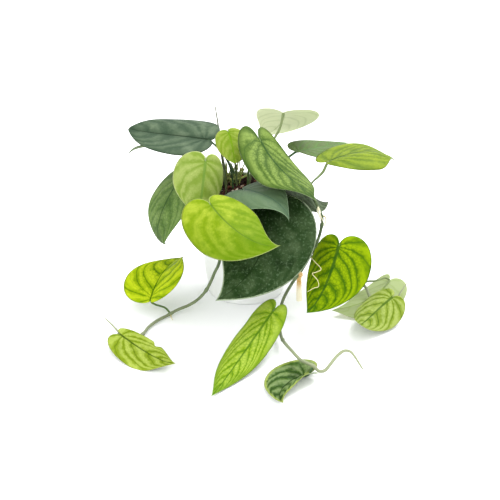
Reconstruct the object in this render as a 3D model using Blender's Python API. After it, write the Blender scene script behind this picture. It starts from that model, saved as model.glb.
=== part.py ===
"""Potted jade satin pothos: a white nursery pot of bark mix, three trailing vines and their leaves.

Metres, +Z up. The origin lies under the middle of the pot, on the surface that the pot stands on,
and -Y points to the front. Leaf and stem places are given in millimetres and angles in degrees.
"""

import math
import random
from dataclasses import dataclass

import bmesh
import bpy
import numpy as np
from mathutils import Vector

MM = 0.001
GAP = 0.3 * MM

POT_HEIGHT = 115 * MM
POT_BASE_RADIUS = 41 * MM
POT_RIM_RADIUS = 60 * MM
POT_WALL = 1.8 * MM
POT_FLOOR = 2.5 * MM
POT_LIP_HEIGHT = 7 * MM
POT_LIP_DEPTH = 2 * MM
POT_SIDES = 54

SOIL_TOP = 111 * MM
SOIL_RELIEF = 2.6 * MM
SOIL_CHUNKS = 90
SOIL_RINGS = 9
SOIL_SIDES = 34
HOLE_BOTTOM = 84 * MM
HOLE_CLEARANCE = 0.6 * MM
HOLE_SIDES = 8

BLADE_THICKNESS = 0.7 * MM
BLADE_ROWS = 10
BLADE_HALF_COLUMNS = 3
PETIOLE_RADIUS = 1.05 * MM
PETIOLE_SIDES = 6
VINE_STEP = 7.0 * MM
VINE_SIDES = 7
ROOT_SIDES = 5
NODE_SWELL = 1.3

TONES = {
    "lime": (0.42, 0.62, 0.05),
    "bright": (0.22, 0.45, 0.03),
    "pale": (0.55, 0.66, 0.35),
    "satin": (0.07, 0.16, 0.08),
    "deep": (0.02, 0.07, 0.03),
}


@dataclass
class Root:
    """An aerial root: its way in mm and its radius at the stem."""

    points: list
    radius: float


@dataclass
class Vine:
    """A stem: its way in mm, its bare nodes, where it grows slim, and the aerial roots it bears."""

    name: str
    points: list
    nodes: tuple
    slim_from: float
    end_radius: float = 0.5
    radius: float = 1.6
    roots: tuple = ()


@dataclass
class Leaf:
    """A blade with its petiole: where the blade begins, which way it points, and how it bends."""

    name: str
    tone: str
    base: tuple
    heading: float
    pitch: float
    roll: float
    length: float
    width: float
    root: tuple
    arrive: tuple
    droop: float = 20
    sweep: float = 0
    curl: float = 0
    fold: tuple = (0, 0)
    cup: tuple = (-10, -10)
    lobe: float = 0.18
    widest: float = 0.30
    drip: float = 1.0
    halves: tuple = (1.0, 1.0)
    via: tuple = ()


VINES = [
    Vine(
        "vine_left",
        [(-17, -18, 84), (-17, -18, 112), (-17, -18, 117), (-21, -32, 122.5), (-29, -50, 123),
         (-34, -67, 109), (-31, -68, 84), (-27, -61, 63), (-32, -62, 50), (-40, -66, 33), (-49, -68, 22),
         (-60, -66, 13), (-72, -64, 6.5), (-82, -70, 3.2), (-92, -81, 3), (-100, -95, 3), (-105, -110, 3),
         (-114, -119, 3), (-124, -116, 4.2), (-131, -107, 6), (-138, -100, 10), (-145, -95, 14)],
        nodes=((-40, -66, 33), (-105, -110, 3)),
        slim_from=0.88,
        roots=(
            Root([(-79, -68, 4), (-78.5, -72, 2.5), (-76.5, -77, 1.5)], 0.6),
        ),
    ),
    Vine(
        "vine_front",
        [(20, -10, 84), (20, -10, 112), (20, -10, 118), (23, -15, 125), (31, -20, 132), (44, -22, 135),
         (56, -23, 132.5), (66, -22, 124.5), (73, -24.5, 113), (79, -27.5, 100), (80, -31, 92), (76, -40, 78),
         (70, -47, 67), (58, -60, 51), (48, -72, 42), (38, -88, 30), (34, -104, 17), (35, -120, 10),
         (37, -136, 11), (41, -155, 15), (46, -170, 17), (51, -179, 15.5), (56, -180, 12.5),
         (60, -181, 11), (65, -182.5, 9), (70, -184.5, 5), (74, -183, 3.4), (78, -180, 5), (82, -176, 8),
         (88, -169, 12), (94, -165, 15), (99, -166, 17), (104, -170, 14), (108.5, -173, 8),
         (113, -175.5, 1.4)],
        nodes=((80, -30, 92), (37, -136, 11)),
        slim_from=0.92,
        end_radius=0.8,
        roots=(
            Root([(79, -27.5, 99), (83, -27.5, 97.5), (84, -28.5, 94), (83, -30, 87)], 0.7),
            Root([(68, -49, 65), (67, -58, 66), (67, -72, 71), (70, -86, 73), (76, -92, 68), (71, -95, 66),
                  (67, -97, 65), (72, -101, 60), (73, -105, 55), (68, -107, 54), (62, -107, 50)], 0.5),
            Root([(57, -61, 49), (55.5, -64, 45), (55.5, -64, 37), (55.5, -64, 28), (56, -64, 18)], 1.4),
        ),
    ),
    Vine(
        "vine_right",
        [(10, -24, 84), (10, -24, 112), (10, -24, 117), (20, -34, 123), (35, -45, 123), (48, -51, 114),
         (57, -45, 97), (62, -37, 73), (72, -33, 50), (85, -32, 37), (98, -34, 31), (112, -39, 29),
         (126, -44, 25), (131, -58, 18), (137, -70, 12), (145, -76, 6.5), (153, -72, 8), (158, -64, 14),
         (162, -58, 22), (170, -53, 33)],
        nodes=((57, -45, 97), (85, -32, 37)),
        slim_from=0.88,
    ),
    Vine(
        "stem_crown",
        [(4, 38, 84), (4, 38, 112), (4, 38, 117), (0, 39, 119.5), (-8, 39, 120.5), (-15, 38.5, 120),
         (-22, 38, 119)],
        nodes=((-8, 39, 120.5),),
        slim_from=0.95,
        end_radius=1.2,
        radius=2.0,
    ),
    Vine(
        "spear_leaf",
        [(-22, 18, 84), (-22, 18, 112), (-22, 18, 117), (-24, 27, 134), (-28, 37, 155), (-30, 43, 175),
         (-33, 46, 195)],
        nodes=(),
        slim_from=0.30,
        end_radius=0.35,
        radius=1.2,
    ),
]

LEAVES = [
    Leaf(
        "leaf_dark_left", "satin", (-37, 10, 169), 161, 2, -1, 96, 73,
        root=(-14, 12), arrive=(150, 30), droop=6, sweep=0, curl=-13, fold=(-4, 33), cup=(-16, -45),
        lobe=0.08, widest=0.30, drip=3.94, halves=(1.0, 1.02),
    ),
    Leaf(
        "leaf_young_back", "lime", (-19, 9, 180), -70, -32, 13, 51, 35,
        root=(-10, 22), arrive=(-100, 55), droop=10, sweep=-16, curl=-74, fold=(-5, 6), cup=(-12, -11),
        lobe=0.08, widest=0.29, drip=1.09, halves=(1.04, 0.94),
    ),
    Leaf(
        "leaf_pale_heart", "pale", (-40, -47, 170), -100, -57, -12, 74, 61,
        root=(-21, 0), arrive=(-110, 20), droop=53, sweep=-2, curl=69, fold=(-27, -3), cup=(-40, -13),
        lobe=0.12, drip=1.08, halves=(0.98, 1.04),
    ),
    Leaf(
        "leaf_lime_front", "lime", (-35, -103, 145), -59, -23, 6, 91, 77,
        root=(-10, -14), arrive=(-110, 25), droop=11, sweep=44, curl=-50, fold=(-11, -10), cup=(-6, -21),
        lobe=0.16, widest=0.33, halves=(0.99, 1.01),
        via=((-11, -17, 120), (-12, -32, 127), (-19, -54, 126), (-27, -80, 132)),
    ),
    Leaf(
        "leaf_veined_top", "bright", (14, -5, 176), -62, -35, -17, 108, 66,
        root=(2, 8), arrive=(-40, 60), droop=-44, curl=28, fold=(-2, 5), cup=(-11, -52), lobe=0.2,
        widest=0.44, drip=1.18, halves=(1.02, 0.99),
    ),
    Leaf(
        "leaf_grey_right", "satin", (41, -1, 130), -18, -15, -19, 60, 56,
        root=(28, 14), arrive=(10, 30), droop=54, sweep=53, curl=-93, fold=(4, -19), cup=(13, -20),
        lobe=0.16, widest=0.4, drip=1.32, halves=(0.93, 1.12),
    ),
    Leaf(
        "leaf_deep_front", "deep", (20, -62, 131), -75, -42, 8, 130, 103,
        root=(16, -17), arrive=(-85, -10), droop=-5, sweep=-70, curl=-4, fold=(4, -10), cup=(-7, -5),
        lobe=0.03, widest=0.27, drip=1.1, halves=(0.97, 1.03),
    ),
    Leaf(
        "leaf_saddle", "satin", (-2, -49, 137), -53, 12, 2, 72, 60,
        root=(6, -8), arrive=(-90, 30), droop=27, sweep=18, curl=68, fold=(1, 1), cup=(14, -40),
        lobe=0.2, widest=0.24, drip=0.51, halves=(1.02, 1.0),
    ),
    Leaf(
        "leaf_dark_hanging", "satin", (-62, -1, 140), -129, -30, -4, 101, 65,
        root=(-26, 6), arrive=(175, 10), droop=37, sweep=1, curl=107, fold=(5, -18), cup=(4, -7),
        lobe=0.09, widest=0.33, drip=1.22, halves=(0.99, 0.96),
    ),
    Leaf(
        "leaf_pale_back", "pale", (40, 41, 189), 79, -30, 7, 89, 71,
        root=(4, 20), arrive=(80, 70), droop=35, sweep=52, curl=-31, fold=(3, 13), cup=(-8, 3),
        lobe=0.19, widest=0.26, drip=1.04, halves=(0.85, 1.1),
    ),
    Leaf(
        "leaf_dark_right", "satin", (54, 48, 143), 34, -5, -3, 74, 52,
        root=(16, 16), arrive=(40, 25), droop=-6, sweep=-5, curl=4, fold=(12, 11), cup=(-8, -31),
        lobe=0.05, widest=0.28, drip=0.85, halves=(0.99, 1.04),
    ),
    Leaf(
        "leaf_lime_right", "lime", (86, 8, 145), 36, 10, -12, 89, 72,
        root=("vine_front", (64, -22, 126)), arrive=(50, 60), droop=23, sweep=-21, curl=45, fold=(3, 8),
        cup=(8, -50), lobe=0.08, widest=0.49, drip=1.1, halves=(0.97, 1.14),
    ),
    Leaf(
        "leaf_heart_right", "bright", (95, -72, 87), -112, -50, 4, 82, 76,
        root=("vine_front", (70, -47, 67)), arrive=(-70, 35), droop=8, sweep=-20, curl=-54,
        fold=(-13, -18), cup=(-17, -22), lobe=0.17, widest=0.27, drip=1.3, halves=(1.0, 0.98),
    ),
    Leaf(
        "leaf_pair_front", "lime", (153, -73, 27), -136, -13, -20, 67, 51,
        root=("vine_right", (156, -62, 12)), arrive=(-140, 10), droop=-4, sweep=11, curl=-49,
        fold=(-20, -10), cup=(-26, -42), lobe=0.17, widest=0.28, drip=1.4, halves=(0.98, 1.05),
    ),
    Leaf(
        "leaf_pair_back", "pale", (154, -32, 25), -125, -25, 157, 78, 54,
        root=("vine_right", (126, -44, 25)), arrive=(-10, -40), droop=8, sweep=55, curl=-30,
        fold=(24, 17), cup=(15, -49), lobe=0.15, widest=0.35, drip=1.06, halves=(0.66, 1.04),
        via=((137, -39, 28),),
    ),
    Leaf(
        "leaf_long_veined", "bright", (29, -124, 40), -125, -25, -20, 126, 49,
        root=("vine_front", (35, -102, 18)), arrive=(-140, 20), droop=-8, sweep=3, curl=-26,
        fold=(-4, -12), cup=(-11, -39), lobe=0.11, widest=0.34, drip=1.29, halves=(0.78, 0.99),
    ),
    Leaf(
        "leaf_curled_floor", "satin", (58, -188, 3), 200, -6, 1, 65, 44,
        root=("vine_front", (62, -182, 10)), arrive=(200, 0), droop=-8, sweep=94, curl=-8, fold=(31, 11),
        cup=(3, 10), lobe=0.23, widest=0.24, halves=(0.99, 1.06),
    ),
    Leaf(
        "leaf_floor_left", "lime", (-126, -125, 12), -47, -7, 18, 85, 48,
        root=("vine_left", (-128, -112, 5)), arrive=(-60, 20), droop=2, sweep=10, curl=-38, fold=(22, 3),
        cup=(-66, -2), lobe=0.1, widest=0.43, drip=1.21, halves=(0.57, 0.97),
    ),
    Leaf(
        "leaf_small_left", "bright", (-100, -67, 18), 75, 40, -31, 76, 77,
        root=("vine_left", (-82, -70, 4)), arrive=(150, 30), droop=46, sweep=1, curl=11, fold=(20, 16),
        cup=(11, -27), lobe=0.05, widest=0.29, drip=0.93, halves=(0.97, 0.99),
    ),
    Leaf(
        "leaf_hidden_left", "satin", (-56, 50, 121), 120, -38, 0, 70, 52,
        root=(-32, 30), arrive=(125, 0), droop=35, fold=(-5, -5),
    ),
    Leaf(
        "leaf_hidden_right", "satin", (28, 68, 120), 70, -45, 0, 86, 62,
        root=(14, 32), arrive=(70, 0), droop=35, fold=(-5, -5),
    ),
]


def clear_scene():
    """Remove whatever the open file holds."""
    for old in list(bpy.data.objects):
        bpy.data.objects.remove(old, do_unlink=True)


def make_material(name, colour, roughness):
    """A Principled material of one colour."""
    material = bpy.data.materials.new(name)
    material.use_nodes = True
    shader = material.node_tree.nodes["Principled BSDF"]
    shader.inputs["Base Color"].default_value = (*colour, 1.0)
    shader.inputs["Roughness"].default_value = roughness
    shader.inputs["Metallic"].default_value = 0.0
    return material


def add_object(name, bm, material):
    """Put a bmesh in the scene as a named object with its faces pointing outwards."""
    bmesh.ops.recalc_face_normals(bm, faces=bm.faces[:])
    mesh = bpy.data.meshes.new(name)
    bm.to_mesh(mesh)
    bm.free()
    mesh.shade_smooth()
    mesh.materials.append(material)
    body = bpy.data.objects.new(name, mesh)
    bpy.context.scene.collection.objects.link(body)
    return body


def combine(body, tools, operation):
    """Join or cut a body with other objects by Booleans, apply them and remove the tools."""
    for tool in tools:
        tool.hide_render = True
        tool.display_type = "WIRE"
        step = body.modifiers.new(operation.lower(), "BOOLEAN")
        step.operation = operation
        step.solver = "EXACT"
        step.object = tool
    graph = bpy.context.evaluated_depsgraph_get()
    mesh = bpy.data.meshes.new_from_object(body.evaluated_get(graph))
    body.modifiers.clear()
    body.data = mesh
    mesh.name = body.name
    for tool in tools:
        bpy.data.objects.remove(tool, do_unlink=True)
    return body


def lathe(profile, sides):
    """Turn a closed (radius, height) profile about Z; its first and last points lie on the axis."""
    bm = bmesh.new()
    bottom = bm.verts.new((0, 0, profile[0][1]))
    top = bm.verts.new((0, 0, profile[-1][1]))
    rings = []
    for radius, height in profile[1:-1]:
        ring = []
        for side in range(sides):
            angle = 2 * math.pi * side / sides
            ring.append(bm.verts.new((radius * math.cos(angle), radius * math.sin(angle), height)))
        rings.append(ring)
    for side in range(sides):
        after = (side + 1) % sides
        bm.faces.new((bottom, rings[0][after], rings[0][side]))
        bm.faces.new((top, rings[-1][side], rings[-1][after]))
        for low, high in zip(rings, rings[1:]):
            bm.faces.new((low[side], low[after], high[after], high[side]))
    return bm


def pot_outer_radius(height):
    """Radius of the pot's tapered outside at a height."""
    return POT_BASE_RADIUS + (POT_RIM_RADIUS - POT_LIP_DEPTH - POT_BASE_RADIUS) * height / POT_HEIGHT


def pot_inner_radius(height):
    """Radius of the pot's tapered inside at a height."""
    return pot_outer_radius(height) - POT_WALL


def make_pot(material):
    """The tapered nursery pot with a flat base and a thicker lip."""
    lip_bottom = POT_HEIGHT - POT_LIP_HEIGHT
    edge = 1.5 * MM
    soft = 0.8 * MM
    profile = [
        (0, 0),
        (POT_BASE_RADIUS - edge, 0),
        (POT_BASE_RADIUS - 0.3 * edge, 0.3 * edge),
        (pot_outer_radius(edge), edge),
        (pot_outer_radius(lip_bottom), lip_bottom),
        (POT_RIM_RADIUS - soft, lip_bottom + soft),
        (POT_RIM_RADIUS, lip_bottom + 2 * soft),
        (POT_RIM_RADIUS, POT_HEIGHT - soft),
        (POT_RIM_RADIUS - soft, POT_HEIGHT),
        (pot_inner_radius(POT_HEIGHT) + soft, POT_HEIGHT),
        (pot_inner_radius(POT_HEIGHT), POT_HEIGHT - soft),
        (pot_inner_radius(POT_FLOOR), POT_FLOOR),
        (0, POT_FLOOR),
    ]
    return add_object("pot", lathe(profile, POT_SIDES), material)


def soil_relief(x, y, chunks):
    """Height of the bark mix above its mean level: the nearest chunk's own height and tilt."""
    cx, cy, lift, slope_x, slope_y = min(chunks, key=lambda c: (c[0] - x) ** 2 + (c[1] - y) ** 2)
    mound = 2.0 * MM * (1 - (math.hypot(x, y) / POT_RIM_RADIUS) ** 2)
    return mound + lift + slope_x * (x - cx) + slope_y * (y - cy)


def make_soil(material, holes):
    """The bark and peat mix that fills the pot, with a plain hole for each stem that stands in it."""
    draw = random.Random(7)
    reach = pot_inner_radius(SOIL_TOP)
    chunks = []
    for _ in range(SOIL_CHUNKS):
        angle = draw.uniform(0, 2 * math.pi)
        radius = reach * math.sqrt(draw.random())
        lift = draw.uniform(-SOIL_RELIEF, SOIL_RELIEF)
        tilt = (draw.uniform(-0.35, 0.35), draw.uniform(-0.35, 0.35))
        chunks.append((radius * math.cos(angle), radius * math.sin(angle), lift, *tilt))
    bottom = POT_FLOOR + GAP
    bm = bmesh.new()
    centre_low = bm.verts.new((0, 0, bottom))
    centre_top = bm.verts.new((0, 0, SOIL_TOP + soil_relief(0, 0, chunks)))
    low, top = [], []
    for side in range(SOIL_SIDES):
        angle = 2 * math.pi * side / SOIL_SIDES
        radius = pot_inner_radius(bottom) * math.cos(math.pi / POT_SIDES) - GAP
        low.append(bm.verts.new((radius * math.cos(angle), radius * math.sin(angle), bottom)))
    for ring in range(1, SOIL_RINGS + 1):
        row = []
        for side in range(SOIL_SIDES):
            angle = 2 * math.pi * side / SOIL_SIDES
            radius = (reach * math.cos(math.pi / POT_SIDES) - GAP) * ring / SOIL_RINGS
            x, y = radius * math.cos(angle), radius * math.sin(angle)
            lift = 0 if ring == SOIL_RINGS else soil_relief(x, y, chunks)
            row.append(bm.verts.new((x, y, SOIL_TOP + lift)))
        top.append(row)
    for side in range(SOIL_SIDES):
        after = (side + 1) % SOIL_SIDES
        bm.faces.new((centre_low, low[after], low[side]))
        bm.faces.new((low[side], low[after], top[-1][after], top[-1][side]))
        bm.faces.new((centre_top, top[0][side], top[0][after]))
        for inner, outer in zip(top, top[1:]):
            bm.faces.new((inner[side], outer[side], outer[after]))
            bm.faces.new((inner[side], outer[after], inner[after]))
    soil = add_object("soil", bm, material)
    drills = []
    for number, (x, y, radius) in enumerate(holes):
        path = [Vector((x, y, HOLE_BOTTOM - 1 * MM)), Vector((x, y, SOIL_TOP + 12 * MM))]
        drill = sweep(path, [radius + HOLE_CLEARANCE] * 2, HOLE_SIDES)
        drills.append(add_object(f"drill_{number}", drill, material))
    return combine(soil, drills, "DIFFERENCE")


def smooth_path(points, step):
    """Points about a step apart along a Catmull-Rom curve through the given ones."""
    points = [Vector(p) for p in points]
    padded = [2 * points[0] - points[1], *points, 2 * points[-1] - points[-2]]
    fine = []
    for p0, p1, p2, p3 in zip(padded, padded[1:], padded[2:], padded[3:]):
        for k in range(16):
            t = k / 16
            fine.append(0.5 * (2 * p1 + (p2 - p0) * t + (2 * p0 - 5 * p1 + 4 * p2 - p3) * t * t
                               + (3 * p1 - p0 - 3 * p2 + p3) * t ** 3))
    fine.append(points[-1])
    reached = [0.0]
    for a, b in zip(fine, fine[1:]):
        reached.append(reached[-1] + (b - a).length)
    count = max(2, round(reached[-1] / step))
    path = []
    for k in range(count + 1):
        goal = reached[-1] * k / count
        index = min(max(i for i, s in enumerate(reached) if s <= goal + 1e-12), len(fine) - 2)
        span = reached[index + 1] - reached[index]
        path.append(fine[index].lerp(fine[index + 1], (goal - reached[index]) / span if span else 0))
    return path


def sweep(path, radii, sides):
    """A closed tube along a path, its rings turned as little as possible from one to the next."""
    bm = bmesh.new()
    across = None
    rings = []
    for index, point in enumerate(path):
        before = path[max(index - 1, 0)]
        after = path[min(index + 1, len(path) - 1)]
        along = (after - before).normalized()
        if across is None:
            helper = Vector((1, 0, 0)) if abs(along.x) < 0.8 else Vector((0, 1, 0))
            across = along.cross(helper)
        across = (across - along * across.dot(along)).normalized()
        upward = along.cross(across)
        ring = []
        for side in range(sides):
            angle = 2 * math.pi * side / sides
            offset = across * math.cos(angle) + upward * math.sin(angle)
            ring.append(bm.verts.new(point + offset * radii[index]))
        rings.append(ring)
    for low, high in zip(rings, rings[1:]):
        for side in range(sides):
            after = (side + 1) % sides
            bm.faces.new((low[side], low[after], high[after], high[side]))
    bm.faces.new(list(reversed(rings[0])))
    bm.faces.new(rings[-1])
    return bm


def cubic(p0, p1, p2, p3, count):
    """Points of a cubic curve, both ends included."""
    p0, p1, p2, p3 = (np.asarray(p, dtype=float) for p in (p0, p1, p2, p3))
    t = np.linspace(0, 1, count)[:, None]
    return (1 - t) ** 3 * p0 + 3 * (1 - t) ** 2 * t * p1 + 3 * (1 - t) * t * t * p2 + t ** 3 * p3


def half_outline(leaf, rows):
    """One side of the flat blade, from the notch round the basal lobe to the drip tip."""
    length, half = leaf.length * MM, leaf.width * MM / 2
    lobe, widest = leaf.lobe * length, leaf.widest * length
    first = round(rows * 0.45)
    lobe_side = cubic((0, 0), (-1.35 * lobe, 0.12 * half), (-lobe, half), (widest, half), first + 1)
    tip_side = cubic((widest, half), (widest + 0.30 * length, half),
                     (0.82 * length, 0.18 * half * leaf.drip), (length, 0), rows - first + 1)
    return np.vstack([lobe_side, tip_side[1:]])


def leaf_axes(leaf):
    """Directions at the base of a blade: along its midrib, to its left, and out of its upper face."""
    heading, pitch, roll = (math.radians(a) for a in (leaf.heading, leaf.pitch, leaf.roll))
    flat = math.cos(pitch)
    along = np.array([flat * math.cos(heading), flat * math.sin(heading), math.sin(pitch)])
    level = np.array([-math.sin(heading), math.cos(heading), 0.0])
    upright = np.cross(along, level)
    left = math.cos(roll) * level + math.sin(roll) * upright
    return along, left, np.cross(along, left)


def bend_blade(leaf, flat):
    """Carry points of the flat blade, in metres, to the place and bend of the real one.

    droop, curl and sweep turn the midrib down, its last part down, and to the left along the
    length; fold and cup lift each half from the midrib and bend it towards its edge.
    """
    along0, left0, up0 = leaf_axes(leaf)
    x, y = flat[:, 0], flat[:, 1]
    share = x / (leaf.length * MM)
    droop, curl, sweep_by = (math.radians(a) for a in (leaf.droop, leaf.curl, leaf.sweep))

    def heading_at(part):
        down = droop * part + curl * np.maximum(part, 0) ** 4
        side = sweep_by * part
        forward = (np.cos(down) * np.cos(side))[:, None] * along0
        ahead = forward + (np.cos(down) * np.sin(side))[:, None] * left0 - np.sin(down)[:, None] * up0
        return ahead, -np.sin(side)[:, None] * along0 + np.cos(side)[:, None] * left0

    steps = 12
    place = np.zeros((len(x), 3)) + np.array(leaf.base) * MM
    for k in range(steps):
        place += heading_at(share * (k + 0.5) / steps)[0] * (x / steps)[:, None]
    ahead, left = heading_at(share)
    up = np.cross(ahead, left)
    on_left = y >= 0
    fold = np.radians(np.where(on_left, leaf.fold[0], leaf.fold[1]))
    cup = np.radians(np.where(on_left, leaf.cup[0], leaf.cup[1]))
    out = np.abs(y)
    half = leaf.width * MM / 2
    out = out * np.where(on_left, leaf.halves[0], leaf.halves[1])
    steps = 8
    for k in range(steps):
        angle = fold + cup * out * (k + 0.5) / steps / half
        place += (np.cos(angle) * np.sign(y) * out / steps)[:, None] * left
        place += (np.sin(angle) * out / steps)[:, None] * up
    return place


def blade_grid(leaf, rows, half_columns):
    """Flat points of the blade and its triangles: the notch, rows across it, then the tip."""
    edge = half_outline(leaf, rows)
    columns = 2 * half_columns + 1
    points = [edge[0]]
    for row in range(1, rows):
        middle = np.array([leaf.length * MM * row / rows, 0.0])
        for column in range(-half_columns, half_columns + 1):
            rim = edge[row] * [1, 1 if column >= 0 else -1]
            points.append(middle + (rim - middle) * abs(column) / half_columns)
    points.append(edge[-1])
    tip = len(points) - 1
    triangles = []
    for c in range(columns - 1):
        first = 1 + c
        last = tip - columns + c
        triangles.append((0, first, first + 1))
        triangles.append((tip, last + 1, last))
        for row in range(rows - 2):
            a = 1 + row * columns + c
            b = a + columns
            triangles.append((a, b, a + 1))
            triangles.append((a + 1, b, b + 1))
    right = [1 + row * columns for row in range(rows - 1)]
    left = [1 + row * columns + columns - 1 for row in range(rows - 1)]
    rim_loop = [0, *right, tip, *reversed(left)]
    return np.array(points), triangles, rim_loop


def blade_bmesh(leaf):
    """The blade as a thin closed shell, split into the same triangles on both faces."""
    flat, triangles, rim_loop = blade_grid(leaf, BLADE_ROWS, BLADE_HALF_COLUMNS)
    middle = bend_blade(leaf, flat)
    normals = np.zeros_like(middle)
    for a, b, c in triangles:
        normal = np.cross(middle[b] - middle[a], middle[c] - middle[a])
        for corner in (a, b, c):
            normals[corner] += normal
    normals /= np.linalg.norm(normals, axis=1)[:, None]
    bm = bmesh.new()
    over = [bm.verts.new(p) for p in middle + normals * BLADE_THICKNESS / 2]
    under = [bm.verts.new(p) for p in middle - normals * BLADE_THICKNESS / 2]
    for a, b, c in triangles:
        bm.faces.new((over[a], over[b], over[c]))
        bm.faces.new((under[c], under[b], under[a]))
    for a, b in zip(rim_loop, rim_loop[1:] + rim_loop[:1]):
        bm.faces.new((over[a], over[b], under[b]))
        bm.faces.new((over[a], under[b], under[a]))
    return bm


def compass(azimuth, elevation):
    """Unit vector in a compass direction and slope, in degrees."""
    a, e = math.radians(azimuth), math.radians(elevation)
    return Vector((math.cos(e) * math.cos(a), math.cos(e) * math.sin(a), math.sin(e)))


def nearest_index(path, place):
    """Index of the path's point nearest to a place in mm."""
    place = Vector(place) * MM
    return min(range(len(path)), key=lambda index: (path[index] - place).length)


def vine_radii(vine, path):
    """Radius along a vine: swollen at its nodes and drawn out to its end."""
    places = [leaf.root[1] for leaf in LEAVES if leaf.root[0] == vine.name]
    nodes = {nearest_index(path, place) for place in [*vine.nodes, *places]}
    radii = []
    for index in range(len(path)):
        share = index / (len(path) - 1)
        radius = vine.radius * MM
        if share > vine.slim_from:
            left = (1 - share) / (1 - vine.slim_from)
            radius = (vine.end_radius + (vine.radius - vine.end_radius) * left) * MM
        if index in nodes:
            radius *= NODE_SWELL
        radii.append(radius)
    return radii


def vine_path(vine):
    """The vine's way in metres."""
    return smooth_path([Vector(p) * MM for p in vine.points], VINE_STEP)


def petiole_path(leaf, vines):
    """The petiole's way: from its hole in the soil or its node on a vine to under the midrib."""
    along0, left0, up0 = (Vector(v) for v in leaf_axes(leaf))
    joint = Vector(leaf.base) * MM - up0 * 0.5 * PETIOLE_RADIUS
    if isinstance(leaf.root[0], str):
        name, place = leaf.root
        path, radii = vines[name]
        index = nearest_index(path, place)
        stem = path[index]
        along = (path[min(index + 1, len(path) - 1)] - path[index - 1]).normalized()
        outward = (joint - stem) - along * (joint - stem).dot(along)
        outward.normalize()
        start = stem + outward * (radii[index] + 1.5 * GAP)
        points = [start]
        rise = outward
    else:
        x, y = leaf.root
        points = [Vector((x, y, HOLE_BOTTOM / MM + 1)) * MM]
        start = Vector((x * MM, y * MM, SOIL_TOP + SOIL_RELIEF + 2 * MM))
        rise = Vector((0, 0, 1))
        points.append(start)
    reach = (joint - start).length
    arrive = compass(*leaf.arrive)
    if leaf.via:
        between = [Vector(p) * MM for p in leaf.via]
        ways = [start, start + rise * 3 * MM, *between, joint - arrive * 4 * MM, joint]
        points += smooth_path(ways, 7 * MM)[1:]
    else:
        curve = cubic(start, start + rise * 0.4 * reach, joint - arrive * 0.4 * reach, joint,
                      max(5, round(reach / (10 * MM))))
        points += [Vector(p) for p in curve[1:]]
    for share in (0.05, 0.10, 0.15):
        spot = bend_blade(leaf, np.array([[share * leaf.length * MM, 0.0]]))[0]
        points.append(Vector(spot) - up0 * 0.45 * PETIOLE_RADIUS * (1 - share * 5))
    return points


def make_leaf(leaf, vines, materials):
    """One leaf: its blade with the petiole fused under the start of the midrib."""
    material = materials[leaf.tone]
    blade = add_object(leaf.name, blade_bmesh(leaf), material)
    path = petiole_path(leaf, vines)
    radii = [PETIOLE_RADIUS] * (len(path) - 3)
    radii += [PETIOLE_RADIUS * share for share in (0.85, 0.65, 0.4)]
    petiole = add_object(leaf.name + "_petiole", sweep(path, radii, PETIOLE_SIDES), material)
    return combine(blade, [petiole], "UNION")


def make_vine(vine, path, thickness, material):
    """One stem with its aerial roots fused to it."""
    stem = add_object(vine.name, sweep(path, thickness, VINE_SIDES), material)
    if not vine.roots:
        return stem
    tools = []
    for number, root in enumerate(vine.roots):
        way = smooth_path([Vector(p) * MM for p in root.points], 5 * MM)
        radii = [root.radius * MM * (1 - 0.45 * k / (len(way) - 1)) for k in range(len(way))]
        tools.append(add_object(f"{vine.name}_root_{number}", sweep(way, radii, ROOT_SIDES), material))
    return combine(stem, tools, "UNION")


def main():
    """Build every piece of the potted plant."""
    clear_scene()
    white_plastic = make_material("white_plastic", (0.86, 0.86, 0.85), 0.35)
    bark = make_material("bark_mix", (0.06, 0.035, 0.025), 0.9)
    stem = make_material("stem_green", (0.16, 0.24, 0.09), 0.5)
    leaf_materials = {tone: make_material("leaf_" + tone, colour, 0.45) for tone, colour in TONES.items()}
    vines = {}
    for vine in VINES:
        path = vine_path(vine)
        vines[vine.name] = (path, vine_radii(vine, path))
    holes = [(vine.points[0][0] * MM, vine.points[0][1] * MM, vine.radius * MM) for vine in VINES]
    holes += [(leaf.root[0] * MM, leaf.root[1] * MM, PETIOLE_RADIUS)
              for leaf in LEAVES if not isinstance(leaf.root[0], str)]
    make_pot(white_plastic)
    make_soil(bark, holes)
    for vine in VINES:
        make_vine(vine, *vines[vine.name], stem)
    for leaf in LEAVES:
        make_leaf(leaf, vines, leaf_materials)


main()
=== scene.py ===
# %% [markdown]
# # A potted jade satin pothos
#
# The subject is a young trailing pothos in a white nursery pot. Its heart-shaped leaves stand on
# thin stalks, and three vines spill over the rim and lie along the table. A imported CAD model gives
# the frame: every solid there is the true size. Here each solid gets a finer piece that keeps its
# form, with veins, speckles, bark and roots that a CAD solid leaves out.

# %% Load the frame
import math
from dataclasses import dataclass, fields

import bpy
import numpy as np
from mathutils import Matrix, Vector


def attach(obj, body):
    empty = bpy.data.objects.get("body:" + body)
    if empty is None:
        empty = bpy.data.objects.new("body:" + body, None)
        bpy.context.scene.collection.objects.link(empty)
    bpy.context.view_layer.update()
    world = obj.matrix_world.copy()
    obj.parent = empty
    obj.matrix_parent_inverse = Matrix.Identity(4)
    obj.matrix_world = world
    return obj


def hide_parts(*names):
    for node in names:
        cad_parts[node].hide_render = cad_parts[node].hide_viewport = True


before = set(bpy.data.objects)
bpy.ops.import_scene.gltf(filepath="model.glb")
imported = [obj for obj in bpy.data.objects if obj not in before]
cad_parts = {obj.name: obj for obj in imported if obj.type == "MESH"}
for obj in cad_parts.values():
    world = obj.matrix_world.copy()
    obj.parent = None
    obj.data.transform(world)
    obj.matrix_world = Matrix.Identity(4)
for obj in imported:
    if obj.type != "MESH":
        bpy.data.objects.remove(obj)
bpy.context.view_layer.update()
scene = bpy.context.scene
MM = 0.001

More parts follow.
